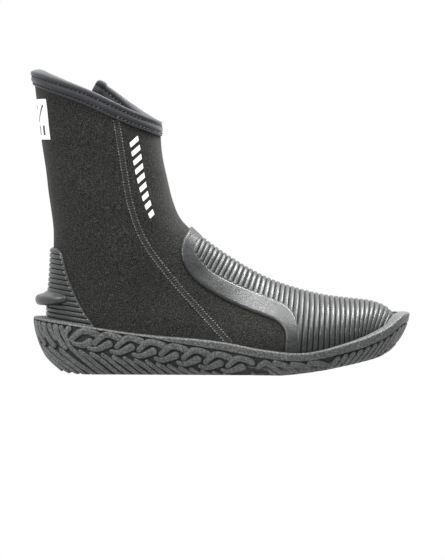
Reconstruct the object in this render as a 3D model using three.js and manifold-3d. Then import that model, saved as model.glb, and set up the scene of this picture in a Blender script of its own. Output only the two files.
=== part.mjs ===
// Zipped neoprene boot for the right foot, size 37, in millimetres.
// +X points to the toe, +Y to the inner side of the foot (where the zip is) and +Z up. The origin is on the
// ground under the middle of the boot.
import * as THREE from "three";
import { mergeVertices } from "three/addons/utils/BufferGeometryUtils.js";
import Module from "manifold-3d";

const wasm = await Module();
wasm.setup();

// ---------------------------------------------------------------------------------------- driving dimensions
const BOOT_LENGTH = 265; // heel to toe over the outsole
const BOOT_HEIGHT = 211; // ground to the back of the collar
const BOOT_WIDTH = 99; // across the outsole at the ball

const NEOPRENE = 5; // upper panels
const GUSSET = 3; // thin neoprene flap behind the zip
const TOE_RUBBER = 1.8; // ribbed overlay on the forefoot
const HEEL_RUBBER = 2.2; // ribbed cap on the heel
const BINDING = 1.2; // elastic tape folded over the collar's edge
const BINDING_DEPTH = 10.5; // how far the binding reaches down each face
const LINER = 4; // foam footbed
const BOARD = 1.5; // stiff board glued under the sock
const SOLE_BOTTOM = 6; // outsole under the board
const SOLE_WALL = 3.8; // outsole round the sides of the foot
const SOLE_END_WALL = 8.2; // outsole bumpers at the toe and the heel
const LIP_REACH = 9; // fin-strap ledge, out from the heel
const LIP_HEIGHT = 8;
const GAP = 0.3; // between pieces that touch
const THREAD = 0.5; // how far sewing stands proud
const PRINT = 0.3; // heat-pressed film

const SEAM_WIDTH = 4.4; // flat-lock seam thread, across the seam
const STITCH_WIDTH = 0.9; // one row of lock stitches
const STITCH_ROWS = [3.6, 8.6]; // two rows on the binding, down from its top

const ZIP_SLOT = 9; // half the slot between the neoprene edges
const TAPE_HALF = 17;
const TAPE = 0.8;
const TOOTH_PITCH = 5;
const TOOTH = 2.1; // one tooth, along the zip
const TOOTH_REACH = 4; // teeth and bead, from the middle line out
const TOOTH_HEIGHT = 3;
const TOOTH_SLIT = 0.6; // half the slit that the slider's post runs in
const BEAD_HEIGHT = 1.6;
const BEAD_WIDTH = 1.8;
const STOP_LENGTH = 4;
const SLIDER_LENGTH = 16;
const SLIDER_HALF = 7;
const SLIDER_PLATE = 1.3;
const SLIDER_PLAY = 0.45; // between the slider and the teeth and tape
const POST_HALF = 0.3;
const BRIDGE_WIDTH = 3.4;
const BRIDGE_HEIGHT = 4.6;
const BRIDGE_SPAN = 8;
const BRIDGE_WALL = 1.4;
const TAB_LENGTH = 30;
const TAB_WIDTH = 9;
const TAB = 1.5;
const TAB_EYE = [5, 6]; // across and along

const AROUND = 24; // facets round a section of the last
const ALONG = 27; // facets from collar to toe

// ------------------------------------------------------------------------------------------------- the last
// The last is drawn for a boot of these sizes and graded to the driving ones.
const DRAWN = { length: 265, height: 211, width: 99, ankle: 95, underfoot: 8.1 };
const lengthGrade = BOOT_LENGTH / DRAWN.length;
const widthGrade = BOOT_WIDTH / DRAWN.width;
const underfootLift = SOLE_BOTTOM + BOARD + 2 * GAP - DRAWN.underfoot * lengthGrade;
const ankleHeight = DRAWN.ankle * lengthGrade + underfootLift;
const legGrade = (BOOT_HEIGHT - ankleHeight) / (DRAWN.height - DRAWN.ankle);
const gradeX = (x) => x * lengthGrade;
const gradeZ = (z) =>
  z < DRAWN.ankle ? z * lengthGrade + underfootLift : ankleHeight + (z - DRAWN.ankle) * legGrade;
const side = ([x, z]) => new THREE.Vector2(gradeX(x), gradeZ(z));

// Sections from above the collar to the toe. front is each section's top or front point and back its bottom or
// rear one, in the side view; mid is where its middle lies across; out and inn are the half widths to the outer
// and inner side; wide is how far towards front the widest line lies; ends are how square its two ends are.
const SECTIONS = [
  { front: [-44, 206], back: [-137, 240], mid: 0, out: 36, inn: 35, wide: 0, ends: [2.3, 2.3] },
  { front: [-43, 176], back: [-130.8, 208], mid: 0, out: 36, inn: 35, wide: 0, ends: [2.3, 2.3] },
  { front: [-41.5, 157], back: [-125.5, 166], mid: 0, out: 35.5, inn: 35, wide: 0, ends: [2.3, 2.3] },
  { front: [-38, 138], back: [-121.5, 134], mid: 0, out: 35, inn: 35, wide: 0, ends: [2.3, 2.3] },
  { front: [-34, 121], back: [-118.3, 112], mid: 0, out: 34.5, inn: 35, wide: 0, ends: [2.3, 2.3] },
  { front: [-28, 107.5], back: [-117, 92], mid: 0, out: 34, inn: 35, wide: 0, ends: [2.3, 2.3] },
  { front: [-19, 97.5], back: [-118, 68], mid: 0, out: 34, inn: 35, wide: 0, ends: [2.2, 2.2] },
  { front: [-8, 88.5], back: [-120, 42], mid: 0, out: 34, inn: 35, wide: -0.05, ends: [2.2, 2.1] },
  { front: [5, 79.5], back: [-119, 18], mid: 0, out: 34.5, inn: 35, wide: -0.1, ends: [2.1, 2.2] },
  { front: [19, 71], back: [-98, 8.1], mid: 0.5, out: 36, inn: 35, wide: -0.15, ends: [2.1, 2.8] },
  { front: [35, 63], back: [-50, 8.1], mid: 1.5, out: 38.5, inn: 36, wide: -0.25, ends: [2, 3.6] },
  { front: [53, 56.8], back: [0, 8.1], mid: 3, out: 43.5, inn: 38.5, wide: -0.35, ends: [2, 4] },
  { front: [72, 52.2], back: [45, 8.4], mid: 3.5, out: 47.5, inn: 40.5, wide: -0.35, ends: [2, 4] },
  { front: [90, 49.8], back: [76, 11], mid: 4.5, out: 44, inn: 38.5, wide: -0.35, ends: [2, 3.6] },
  { front: [104, 48], back: [96, 15], mid: 5.5, out: 35.5, inn: 32.5, wide: -0.3, ends: [2.1, 3] },
  { front: [114, 44.5], back: [109, 19.5], mid: 6, out: 25, inn: 24, wide: -0.2, ends: [2.1, 2.4] },
  { front: [120, 38.5], back: [117.5, 24], mid: 6, out: 13.5, inn: 13, wide: -0.1, ends: [2, 2] },
  { front: [122.3, 31], back: [122.3, 31], mid: 6, out: 0.01, inn: 0.01, wide: 0, ends: [2, 2] },
];
const LAST_SECTION = SECTIONS.length - 1;
const MEDIAL = 35 * widthGrade; // the inner side of the leg is flat here, so the zip runs straight

const smooth = (points) => new THREE.CatmullRomCurve3(points, false, "catmullrom", 0.5);
const fronts = smooth(SECTIONS.map((s) => new THREE.Vector3(...side(s.front), 0)));
const backs = smooth(SECTIONS.map((s) => new THREE.Vector3(...side(s.back), 0)));
const widths = smooth(SECTIONS.map((s) => new THREE.Vector3(s.mid, s.out, s.inn).multiplyScalar(widthGrade)));
const forms = smooth(SECTIONS.map((s) => new THREE.Vector3(s.wide, ...s.ends)));

/** A point of the last's surface: v runs from 0 above the collar to 1 at the toe, turn from 0 at the front. */
function onLast(turn, v) {
  const front = fronts.getPoint(v);
  const back = backs.getPoint(v);
  const [mid, out, inn] = widths.getPoint(v).toArray();
  const [wide, frontEnd, backEnd] = forms.getPoint(v).toArray();
  const c = Math.cos(turn);
  const s = Math.sin(turn);
  const end = c > 0 ? frontEnd : backEnd;
  const reach = (Math.abs(c) ** end + Math.abs(s) ** end) ** (-1 / end);
  const along = wide + reach * c * (c > 0 ? 1 - wide : 1 + wide);
  const point = front.clone().lerp(back, (1 - along) / 2);
  return new THREE.Vector3(point.x, mid + reach * s * (s < 0 ? out : inn), point.y);
}

/** The outward normal there, by small steps. */
function normalOnLast(turn, v) {
  if (v > 0.998) return new THREE.Vector3(1, 0, 0);
  const step = 1e-3;
  const acrossStep = onLast(turn + step, v).sub(onLast(turn - step, v));
  const alongStep = onLast(turn, Math.min(v + step, 1)).sub(onLast(turn, Math.max(v - step, 0)));
  return alongStep.cross(acrossStep).normalize();
}

// --------------------------------------------------------------------------------------------- solid helpers
function solidOf(geometry) {
  const bare = new THREE.BufferGeometry().setAttribute("position", geometry.getAttribute("position"));
  if (geometry.index) bare.setIndex(geometry.index);
  const merged = mergeVertices(bare, 1e-3);
  return new wasm.Manifold(
    new wasm.Mesh({
      numProp: 3,
      vertProperties: new Float32Array(merged.attributes.position.array),
      triVerts: new Uint32Array(merged.index.array),
    }),
  );
}

function geometryOf(solid) {
  const { numProp, vertProperties, triVerts } = solid.getMesh();
  const count = vertProperties.length / numProp;
  const positions = new Float32Array(count * 3);
  for (let i = 0; i < count; i++) positions.set(vertProperties.subarray(i * numProp, i * numProp + 3), i * 3);
  return new THREE.BufferGeometry()
    .setAttribute("position", new THREE.BufferAttribute(positions, 3))
    .setIndex(new THREE.BufferAttribute(triVerts, 1));
}

/** The largest body of a solid, without the slivers that a cut may leave. */
function main(solid) {
  return solid.decompose().reduce((a, b) => (b.volume() > a.volume() ? b : a));
}

/** A closed loft down through rings of points that run from +X to +Y, capped at both ends. */
function loft(rings) {
  const count = rings[0].length;
  const positions = [];
  const faces = [];
  for (const ring of rings) for (const p of ring) positions.push(p.x, p.y, p.z);
  for (let i = 0; i < rings.length - 1; i++)
    for (let j = 0; j < count; j++) {
      const a = i * count + j;
      const b = i * count + ((j + 1) % count);
      faces.push(a, b + count, b, a, a + count, b + count);
    }
  for (const [ring, flip] of [[0, false], [rings.length - 1, true]]) {
    const centre = rings[ring].reduce((sum, p) => sum.add(p), new THREE.Vector3()).divideScalar(count);
    const hub = positions.length / 3;
    positions.push(centre.x, centre.y, centre.z);
    for (let j = 0; j < count; j++) {
      const a = ring * count + j;
      const b = ring * count + ((j + 1) % count);
      faces.push(...(flip ? [b, a, hub] : [a, b, hub]));
    }
  }
  return new THREE.BufferGeometry()
    .setAttribute("position", new THREE.Float32BufferAttribute(positions, 3))
    .setIndex(faces);
}

const lastSolids = new Map();
/** The last grown by offset all over, as a closed solid that runs on above the collar. */
function last(offset) {
  if (!lastSolids.has(offset)) {
    const rings = [];
    for (let i = 0; i <= ALONG; i++) {
      const v = i / ALONG;
      const ring = [];
      for (let j = 0; j < AROUND; j++) {
        const turn = (2 * Math.PI * j) / AROUND;
        ring.push(onLast(turn, v).addScaledVector(normalOnLast(turn, v), offset));
      }
      rings.push(ring);
    }
    const made = solidOf(loft(rings));
    lastSolids.set(offset, made);
  }
  return lastSolids.get(offset);
}

/** What lies between two offsets of the last. */
const skin = (inner, outer) => last(outer).subtract(last(inner));

const FAR = 400;
const OUTER = -1; // the side of the foot that faces away from the other one
const INNER = 1;

/** A side-view outline as a solid that covers one side of the boot, or both. */
function cutter(points, which = 0) {
  const shape = new THREE.Shape(points.map((p) => new THREE.Vector2(p.x, p.y)));
  const depth = which ? FAR : 2 * FAR;
  const flat = new THREE.ExtrudeGeometry(shape, { depth, bevelEnabled: false });
  flat.rotateX(Math.PI / 2); // the shape now stands in the side view, and its depth runs towards -Y
  flat.translate(0, which === OUTER ? 0 : FAR, 0);
  return solidOf(flat);
}

/** A smooth side-view line through drawn points. */
const line = (points, steps = 24) =>
  new THREE.SplineCurve(points.map(side)).getPoints(steps);

/** A line moved sideways by a distance, to its left as it runs. */
function shifted(points, distance) {
  return points.map((p, i) => {
    const before = points[Math.max(i - 1, 0)];
    const after = points[Math.min(i + 1, points.length - 1)];
    const along = after.clone().sub(before).normalize();
    return new THREE.Vector2(p.x - along.y * distance, p.y + along.x * distance);
  });
}

/** The strip between a line moved two ways. */
const strip = (points, low, high, which) =>
  cutter([...shifted(points, low), ...shifted(points, high).reverse()], which);

// ------------------------------------------------------------------------------------- lines of the side view
const corner = (x, z) => new THREE.Vector2(x, z);

/** Everything below a line that crosses the boot from front to back or from back to front. */
function below(points, which) {
  const sign = Math.sign(points.at(-1).x - points[0].x);
  return cutter([
    corner(-sign * FAR, points[0].y), ...points, corner(sign * FAR, points.at(-1).y),
    corner(sign * FAR, -FAR), corner(-sign * FAR, -FAR),
  ], which);
}

/** Everything towards the toe from a line that runs down the boot. */
const inFront = (points, which) =>
  cutter([
    corner(points[0].x, FAR), ...points, corner(points.at(-1).x, -FAR), corner(FAR, -FAR), corner(FAR, FAR),
  ], which);

/** The height of a side-view line at x. */
function heightAt(points, x) {
  const i = points.findIndex((p, k) => k && (points[k - 1].x - x) * (p.x - x) <= 0);
  if (i < 0) throw new Error("the line doesn't reach x = " + x);
  const [a, b] = [points[i - 1], points[i]];
  return a.y + ((b.y - a.y) * (x - a.x)) / (b.x - a.x);
}

// The neoprene's edges at the collar, from the front to the back. On the inner side the front piece stands
// higher, in a corner beside the zip.
const collarOuter = line([
  [-30, 170], [-43, 173.8], [-62, 181.3], [-91, 194.8], [-119, 205], [-132, 209.5], [-150, 215],
]);
const collarInnerFront = line([[-30, 170.5], [-43, 174], [-52, 179], [-66, 188.5], [-80, 198.5], [-95, 207]]);
const collarInnerBack = line([[-70, 188], [-98, 198], [-119, 205], [-132, 209.5], [-150, 215]]);

// The zip's middle line, straight from the binding to the ankle.
const ZIP_TOP = side([-89.8, 188]);
const ZIP_BOTTOM = side([-65, 62]);
const zipLength = ZIP_TOP.distanceTo(ZIP_BOTTOM);
const zipDown = ZIP_BOTTOM.clone().sub(ZIP_TOP).normalize();
const zipFront = new THREE.Vector2(-zipDown.y, zipDown.x);
const onZip = (across, down) => ZIP_TOP.clone().addScaledVector(zipFront, across).addScaledVector(zipDown, down);

const seamOuter = line([
  [-78, 205], [-72, 175], [-66, 137], [-62, 116], [-52.5, 91.5], [-33, 65], [-14, 44], [6, 22], [16, 8],
]);
const seamInner = line([[-65, 62], [-62, 50], [-55, 38], [-45, 26], [-32, 8]], 10);

// The outsole's rim, and its underside on the ground with the toe turned up.
const soleRim = line([
  [-140, 39.5], [-131, 39], [-110, 36.5], [-87, 33], [-62, 29.3], [-40, 27], [-14, 25], [6, 22.3], [24, 18.8],
  [43, 16.4], [56, 16], [68, 17.6], [84, 21.6], [102, 27], [116, 32.8], [124, 38.5], [129, 41.3], [140, 41.6],
], 40);
const groundLine = [
  [-140, 0], [-90, 0], [-40, 0], [10, 0], [40, 0], [68, 3.2], [84, 6], [104, 10], [117, 13.5], [140, 21],
];
const soleUnderside = new THREE.SplineCurve(groundLine.map(([x, z]) => corner(gradeX(x), z * lengthGrade)))
  .getPoints(60)
  .map((p) => corner(p.x, Math.max(p.y, 0)));

const toeEdge = line([
  [-16, 112], [-22.5, 100], [-27, 92], [-27.5, 82], [-25, 75], [-19.5, 67], [-9.5, 59], [4, 51], [17, 45.2],
  [30.5, 40.2], [38.5, 36.8], [43, 32], [44.5, 26.8], [44, 17], [44, 5],
], 36);
const heelEdge = line([
  [-150, 87.3], [-117, 87], [-112, 86], [-109.3, 82], [-107.3, 74.6], [-104.4, 64.8], [-99.5, 53], [-93.6, 42.2],
  [-87, 33], [-74, 12],
]);

// ------------------------------------------------------------------------------------------------- materials
const material = (color, roughness, metalness = 0) => new THREE.MeshStandardMaterial({ color, roughness, metalness });
const finishes = {
  neoprene: material(0x23231f, 0.95),
  binding: material(0x3a3a3f, 0.85),
  thread: material(0x4a4a4c, 0.8),
  sole: material(0x55585a, 0.6),
  overlay: material(0x5c6062, 0.45),
  foam: material(0x2a2a2c, 0.95),
  board: material(0x6b5f4d, 0.9),
  zip: material(0x1c1c1e, 0.5),
  metal: material(0x2b2c2e, 0.35, 0.8),
  print: material(0xf2f2f0, 0.6),
};

const boot = new THREE.Group();
boot.name = "neoprene_boot";

/** Adds one sub-part to a group. */
function add(name, solid, finish, group = boot) {
  const mesh = new THREE.Mesh(geometryOf(main(solid)), finishes[finish]);
  mesh.name = name;
  group.add(mesh);
}

// ----------------------------------------------------------------------------------------------- upper panels
const FOLD = GAP + BINDING; // how far the binding stands off the neoprene
const zipLine = [onZip(0, -60), onZip(0, 60)];

/** Everything below the collar's edge, lifted by a distance. */
function underCollar(lift) {
  const raised = (points, which) => below(shifted(points, -lift), which);
  const ahead = inFront(zipLine, INNER);
  return raised(collarOuter, OUTER)
    .add(raised(collarInnerFront, INNER).intersect(ahead))
    .add(raised(collarInnerBack, INNER).subtract(ahead));
}
const underBinding = underCollar(FOLD - BINDING_DEPTH - GAP);

/** The boot in front of the two seams and the zip's middle line, grown backwards. */
function frontHalf(grown) {
  const innerLine = [onZip(0, -60), onZip(0, zipLength / 2), ...seamInner];
  return inFront(shifted(seamOuter, -grown), OUTER).add(inFront(shifted(innerLine, -grown), INNER));
}

/** The slot for the zip in the inner side, with a pointed end at the bottom. */
const zipSlot = (half) =>
  cutter([
    onZip(-half, -60), onZip(half, -60), onZip(half, zipLength), onZip(0, zipLength + half),
    onZip(-half, zipLength),
  ], INNER);

/** Everything lower than a height over the sock's underside. */
function underfoot(height) {
  const [heel, toe] = [9, 15].map((section) => section / LAST_SECTION);
  const base = [];
  for (let i = 0; i <= 16; i++) {
    const p = backs.getPoint(heel + ((toe - heel) * i) / 16);
    base.push(corner(p.x, p.y + height));
  }
  const rise = base.at(-1).clone().sub(base.at(-3)).setLength(40);
  base.push(base.at(-1).clone().add(rise));
  return below(base);
}

// The tape lies on the leg, which falls away a little to each side of the zip.
const LEG_HALF = fronts.getPoint(4 / LAST_SECTION).distanceTo(backs.getPoint(4 / LAST_SECTION)) / 2;
const LEG_ROUND = SECTIONS[4].ends[0];
const fallsAway = (across) =>
  MEDIAL * (1 - (1 - (Math.abs(across) / LEG_HALF) ** LEG_ROUND) ** (1 / LEG_ROUND));

const zip = new THREE.Group();
zip.name = "zip";
zip.position.set(ZIP_TOP.x, MEDIAL, ZIP_TOP.y);
zip.rotation.y = -Math.atan2(zipDown.x, -zipDown.y);
zip.updateMatrix();
boot.add(zip);
const toZip = (solid) => solid.transform(zip.matrix.clone().invert().elements);
const fromZip = (solid) => solid.transform(zip.matrix.elements);

/** A ribbon down the zip between two distances across it, following the leg at a height over it. */
function ribbon(from, to, low, high, top, bottom) {
  const steps = 5;
  const across = Array.from({ length: steps + 1 }, (_, i) => from + ((to - from) * i) / steps);
  const outline = [
    ...across.map((a) => corner(a, low - fallsAway(a))),
    ...across.reverse().map((a) => corner(a, high - fallsAway(a))),
  ];
  const long = new THREE.ExtrudeGeometry(new THREE.Shape(outline), { depth: bottom - top, bevelEnabled: false });
  return solidOf(long.translate(0, 0, -bottom));
}

const neoprene = skin(-NEOPRENE, 0).intersect(underCollar(0));
const BOTTOM_PANEL_RISE = NEOPRENE + 0.5; // the sock's bottom turns up a little round the foot
const tapeRoom = [-1, 1].map((s) =>
  fromZip(ribbon(s * (ZIP_SLOT - 1), s * (TAPE_HALF + GAP), 0, 4, -GAP - 4, zipLength + GAP)),
);
const walls = neoprene
  .subtract(zipSlot(ZIP_SLOT))
  .subtract(tapeRoom[0])
  .subtract(tapeRoom[1])
  .subtract(underfoot(BOTTOM_PANEL_RISE));

add("front_panel", walls.intersect(frontHalf(0)), "neoprene");
add("rear_panel", walls.subtract(frontHalf(GAP)), "neoprene");
add("bottom_panel", neoprene.intersect(underfoot(BOTTOM_PANEL_RISE - GAP)), "neoprene");

const inside = NEOPRENE + GAP;
add("footbed_liner", last(-inside).intersect(underfoot(inside + LINER)), "foam");
add("insole_board", skin(GAP, GAP + BOARD).intersect(underfoot(-2 * GAP / 3)), "board");

const gussetHalf = TAPE_HALF + 6;
const gussetOutline = [
  onZip(-gussetHalf, -8), onZip(gussetHalf, -8), onZip(gussetHalf, zipLength), onZip(-gussetHalf, zipLength),
];
add(
  "zip_gusset",
  skin(-inside - GUSSET, -inside).intersect(cutter(gussetOutline, INNER)).intersect(underBinding),
  "neoprene",
);

// ------------------------------------------------------------------------------------------- collar and sewing
const bindingTop = underCollar(FOLD);
const binding = skin(-NEOPRENE - FOLD, FOLD)
  .intersect(bindingTop)
  .subtract(underCollar(FOLD - BINDING_DEPTH))
  .subtract(skin(-inside, GAP).intersect(underCollar(GAP)))
  .subtract(zipSlot(ZIP_SLOT));
add("collar_binding", binding, "binding");

STITCH_ROWS.forEach((drop, i) => {
  const row = skin(FOLD + GAP, FOLD + GAP + THREAD)
    .intersect(underCollar(FOLD - drop + STITCH_WIDTH / 2))
    .subtract(underCollar(FOLD - drop - STITCH_WIDTH / 2))
    .subtract(zipSlot(ZIP_SLOT + 1));
  add(["binding_stitch_upper", "binding_stitch_lower"][i], row, "thread");
});

const overRim = below(shifted(soleRim, GAP));
const seamThread = (seam, which) =>
  skin(GAP, GAP + THREAD)
    .intersect(strip(seam, -SEAM_WIDTH / 2, SEAM_WIDTH / 2, which))
    .intersect(underBinding)
    .subtract(overRim);
add("seam_thread_outer", seamThread(seamOuter, OUTER), "thread");
add("seam_thread_inner", seamThread(seamInner.slice(3), INNER), "thread");

// ----------------------------------------------------------------------------------------------- rubber pieces
const TUCK = 4; // how far the overlays run down inside the outsole's rim
const tucked = below(shifted(soleRim, -TUCK));
const tuckedRoom = below(shifted(soleRim, -TUCK - GAP));
const behindHeelEdge = (grown) => {
  const edge = shifted(heelEdge, grown);
  return cutter([corner(-FAR, edge[0].y), ...edge, corner(-FAR, edge.at(-1).y)]);
};
const toeRegion = inFront(toeEdge);
const toeOverlay = skin(GAP, GAP + TOE_RUBBER).intersect(toeRegion).subtract(tucked);
add("toe_overlay", toeOverlay, "overlay");

const lipShape = new THREE.Shape(
  new THREE.EllipseCurve(gradeX(-100), 0, -gradeX(-122.5) + LIP_REACH - 1 + gradeX(-100), 27 * widthGrade)
    .getPoints(40),
);
const lipLevel = gradeZ(50.5);
const lip = solidOf(
  new THREE.ExtrudeGeometry(lipShape, { depth: LIP_HEIGHT - 3, bevelSize: 1.5, bevelThickness: 1.5, bevelSegments: 2 })
    .translate(0, 0, lipLevel - LIP_HEIGHT / 2 + 1.5),
).subtract(inFront([corner(gradeX(-104), 90), corner(gradeX(-104), 0)])).subtract(last(GAP));
const heelCap = skin(GAP, GAP + HEEL_RUBBER).intersect(behindHeelEdge(0)).subtract(tucked).add(lip);
add("heel_cap", heelCap, "overlay");

// The foot's outline at the rim, from the toe round the inner side, and the outsole's wall round it.
const footprint = new THREE.CatmullRomCurve3(
  [
    [124.3, 6], [119, 25], [108, 35.8], [92, 43.2], [70, 46], [46, 45.9], [20, 42.6], [-10, 39.6], [-45, 36.8],
    [-75, 34.9], [-92, 34.1], [-105, 29.4], [-118, 17.8], [-123.2, 0], [-118, -17.6], [-105, -29.2],
    [-92, -33.8], [-75, -34.7], [-45, -36.5], [-10, -38.8], [20, -41.8], [46, -45.7], [70, -44], [92, -37.2],
    [108, -27], [119, -14.5],
  ].map(([x, y]) => new THREE.Vector3(gradeX(x), y * widthGrade, 0)),
  true,
  "catmullrom",
  0.5,
);
const SIDE_ROLL = 9; // how far the sidewall curves in under the foot
const TOE_ROLL = 17;
const HEEL_ROLL = 22;
const ROLL_FORM = 1.7;
const HULL_AROUND = 44;
const SHANK = corner(gradeX(-25), 3 * widthGrade); // where the underside's facets meet, on the ground

/** The outsole before the foot is taken out of it. */
function soleBlock() {
  const up = new THREE.Vector3(0, 0, 1);
  const posts = Array.from({ length: HULL_AROUND }, (_, i) => {
    const at = footprint.getPointAt(i / HULL_AROUND);
    const out = footprint.getTangentAt(i / HULL_AROUND).cross(up);
    const end = out.x ** 2;
    const roll = SIDE_ROLL + ((out.x > 0 ? TOE_ROLL : HEEL_ROLL) - SIDE_ROLL) * end;
    const wall = SOLE_WALL + (SOLE_END_WALL - SOLE_WALL) * end;
    return { at, out, roll, edge: at.clone().addScaledVector(out, wall) };
  });
  const rings = [posts.map(({ at, out }) => at.clone().addScaledVector(out, -10).setZ(heightAt(soleRim, at.x)))];
  const steps = 7;
  for (let k = 0; k <= steps; k++) {
    const angle = (k / steps) * (Math.PI / 2);
    const [inwards, downwards] = [1 - Math.cos(angle) ** (2 / ROLL_FORM), Math.sin(angle) ** (2 / ROLL_FORM)];
    rings.push(posts.map(({ out, roll, edge }) => {
      const p = edge.clone().addScaledVector(out, -roll * inwards);
      const rim = heightAt(soleRim, edge.x);
      return p.setZ(rim + (heightAt(soleUnderside, p.x) - rim) * downwards);
    }));
  }
  const rolled = rings.at(-1);
  for (const [shareX, shareY] of [[0.8, 0.6], [0.4, 0.15]])
    rings.push(rolled.map((p) => {
      const x = SHANK.x + (p.x - SHANK.x) * shareX;
      return new THREE.Vector3(x, SHANK.y + (p.y - SHANK.y) * shareY, heightAt(soleUnderside, x));
    }));
  return solidOf(loft(rings));
}

const boardRoom = last(2 * GAP + BOARD).intersect(underfoot(GAP));
const toeRoom = last(2 * GAP + TOE_RUBBER)
  .intersect(inFront(shifted(toeEdge, -GAP)))
  .subtract(tuckedRoom);
const heelRoom = last(2 * GAP + HEEL_RUBBER).intersect(behindHeelEdge(GAP)).subtract(tuckedRoom);
add("outsole", soleBlock().subtract(last(GAP)).subtract(boardRoom).subtract(toeRoom).subtract(heelRoom), "sole");

// -------------------------------------------------------------------------------------------------------- zip
const box = (low, high) =>
  solidOf(
    new THREE.BoxGeometry(...high.map((h, i) => h - low[i])).translate(...high.map((h, i) => (h + low[i]) / 2)),
  );
const BAND = GAP + TAPE / 2; // the chain's middle plane stands this far off the leg
const STITCH_LINES = [11.2, 14.8]; // two rows down each tape
const teethTop = STOP_LENGTH + GAP;
const teethBottom = zipLength - STOP_LENGTH - GAP;
const zipCollar = toZip(underBinding);

/** One side of the chain: a bead with teeth, the other side half a pitch lower. */
function teeth(sign) {
  const across = (near, far) => [Math.min(sign * near, sign * far), Math.max(sign * near, sign * far)];
  const [beadLow, beadHigh] = across(TOOTH_REACH - BEAD_WIDTH, TOOTH_REACH);
  const [toothLow, toothHigh] = across(TOOTH_SLIT, TOOTH_REACH - 0.2);
  let row = box([beadLow, BAND - BEAD_HEIGHT / 2, -teethBottom], [beadHigh, BAND + BEAD_HEIGHT / 2, -teethTop]);
  const first = teethTop + (sign > 0 ? 0 : TOOTH_PITCH / 2);
  for (let down = first; down + TOOTH <= teethBottom; down += TOOTH_PITCH)
    row = row.add(
      box([toothLow, BAND - TOOTH_HEIGHT / 2, -down - TOOTH], [toothHigh, BAND + TOOTH_HEIGHT / 2, -down]),
    );
  return row;
}

for (const [name, sign] of [["front", 1], ["rear", -1]]) {
  const tape = ribbon(sign * (TOOTH_REACH + GAP), sign * TAPE_HALF, GAP, GAP + TAPE, -4, zipLength);
  add("zip_tape_" + name, tape.intersect(zipCollar), "zip", zip);
  add("zip_teeth_" + name, teeth(sign), "zip", zip);
  const [low, high] = [sign * TOOTH_SLIT, sign * TOOTH_REACH].sort((a, b) => a - b);
  const stopRise = TOOTH_HEIGHT / 2 + 0.8;
  add("zip_top_stop_" + name, box([low, BAND - stopRise, -STOP_LENGTH], [high, BAND + stopRise, 0]), "zip", zip);
  const rows = STITCH_LINES.map((at) =>
    ribbon(
      sign * (at - STITCH_WIDTH / 2), sign * (at + STITCH_WIDTH / 2), 2 * GAP + TAPE, 2 * GAP + TAPE + THREAD, 3,
      zipLength - 2,
    ),
  );
  const turn = ribbon(
    sign * STITCH_LINES[0], sign * STITCH_LINES[1], 2 * GAP + TAPE, 2 * GAP + TAPE + THREAD,
    zipLength - 2 - STITCH_WIDTH, zipLength - 2,
  );
  add("zip_stitch_" + name, rows[0].add(rows[1]).add(turn).intersect(toZip(underCollar(-BINDING_DEPTH))), "thread", zip);
}
const bottomRise = TOOTH_HEIGHT / 2 + 0.8;
add(
  "zip_bottom_stop",
  box([-TOOTH_REACH, BAND - bottomRise, -zipLength], [TOOTH_REACH, BAND + bottomRise, GAP - zipLength + STOP_LENGTH - GAP]),
  "zip",
  zip,
);

// The slider: two plates on a post that runs in the slit, with rails round the chain, a bridge and a pull tab.
const sliderTop = -teethTop - GAP;
const sliderMiddle = sliderTop - SLIDER_LENGTH / 2;
const plateLow = BAND + TOOTH_HEIGHT / 2 + SLIDER_PLAY;
const plateHigh = plateLow + SLIDER_PLATE;
const underPlate = BAND - TOOTH_HEIGHT / 2 - SLIDER_PLAY;
const railIn = TOOTH_REACH + SLIDER_PLAY + 0.9;
const sliderBottom = sliderTop - SLIDER_LENGTH;
let slider = box([-SLIDER_HALF, plateLow, sliderBottom], [SLIDER_HALF, plateHigh, sliderTop])
  .add(box([-SLIDER_HALF, underPlate - SLIDER_PLATE, sliderBottom], [SLIDER_HALF, underPlate, sliderTop]))
  .add(box([-POST_HALF, underPlate - 0.5, sliderTop - 5], [POST_HALF, plateLow + 0.5, sliderTop - 0.5]));
for (const [low, high] of [[-SLIDER_HALF, -railIn], [railIn, SLIDER_HALF]])
  slider = slider
    .add(box([low, GAP + TAPE + SLIDER_PLAY, sliderBottom], [high, plateLow + 0.5, sliderTop]))
    .add(box([low, underPlate - 0.5, sliderBottom], [high, GAP - SLIDER_PLAY, sliderTop]));
const bridge = box(
  [-BRIDGE_WIDTH / 2, plateHigh - 0.5, sliderMiddle - BRIDGE_SPAN / 2],
  [BRIDGE_WIDTH / 2, plateHigh + BRIDGE_HEIGHT, sliderMiddle + BRIDGE_SPAN / 2],
).subtract(
  box(
    [-BRIDGE_WIDTH, plateHigh, sliderMiddle - BRIDGE_SPAN / 2 + BRIDGE_WALL],
    [BRIDGE_WIDTH, plateHigh + BRIDGE_HEIGHT - BRIDGE_WALL, sliderMiddle + BRIDGE_SPAN / 2 - BRIDGE_WALL],
  ),
);
add("zip_slider", slider.add(bridge), "metal", zip);

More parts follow.
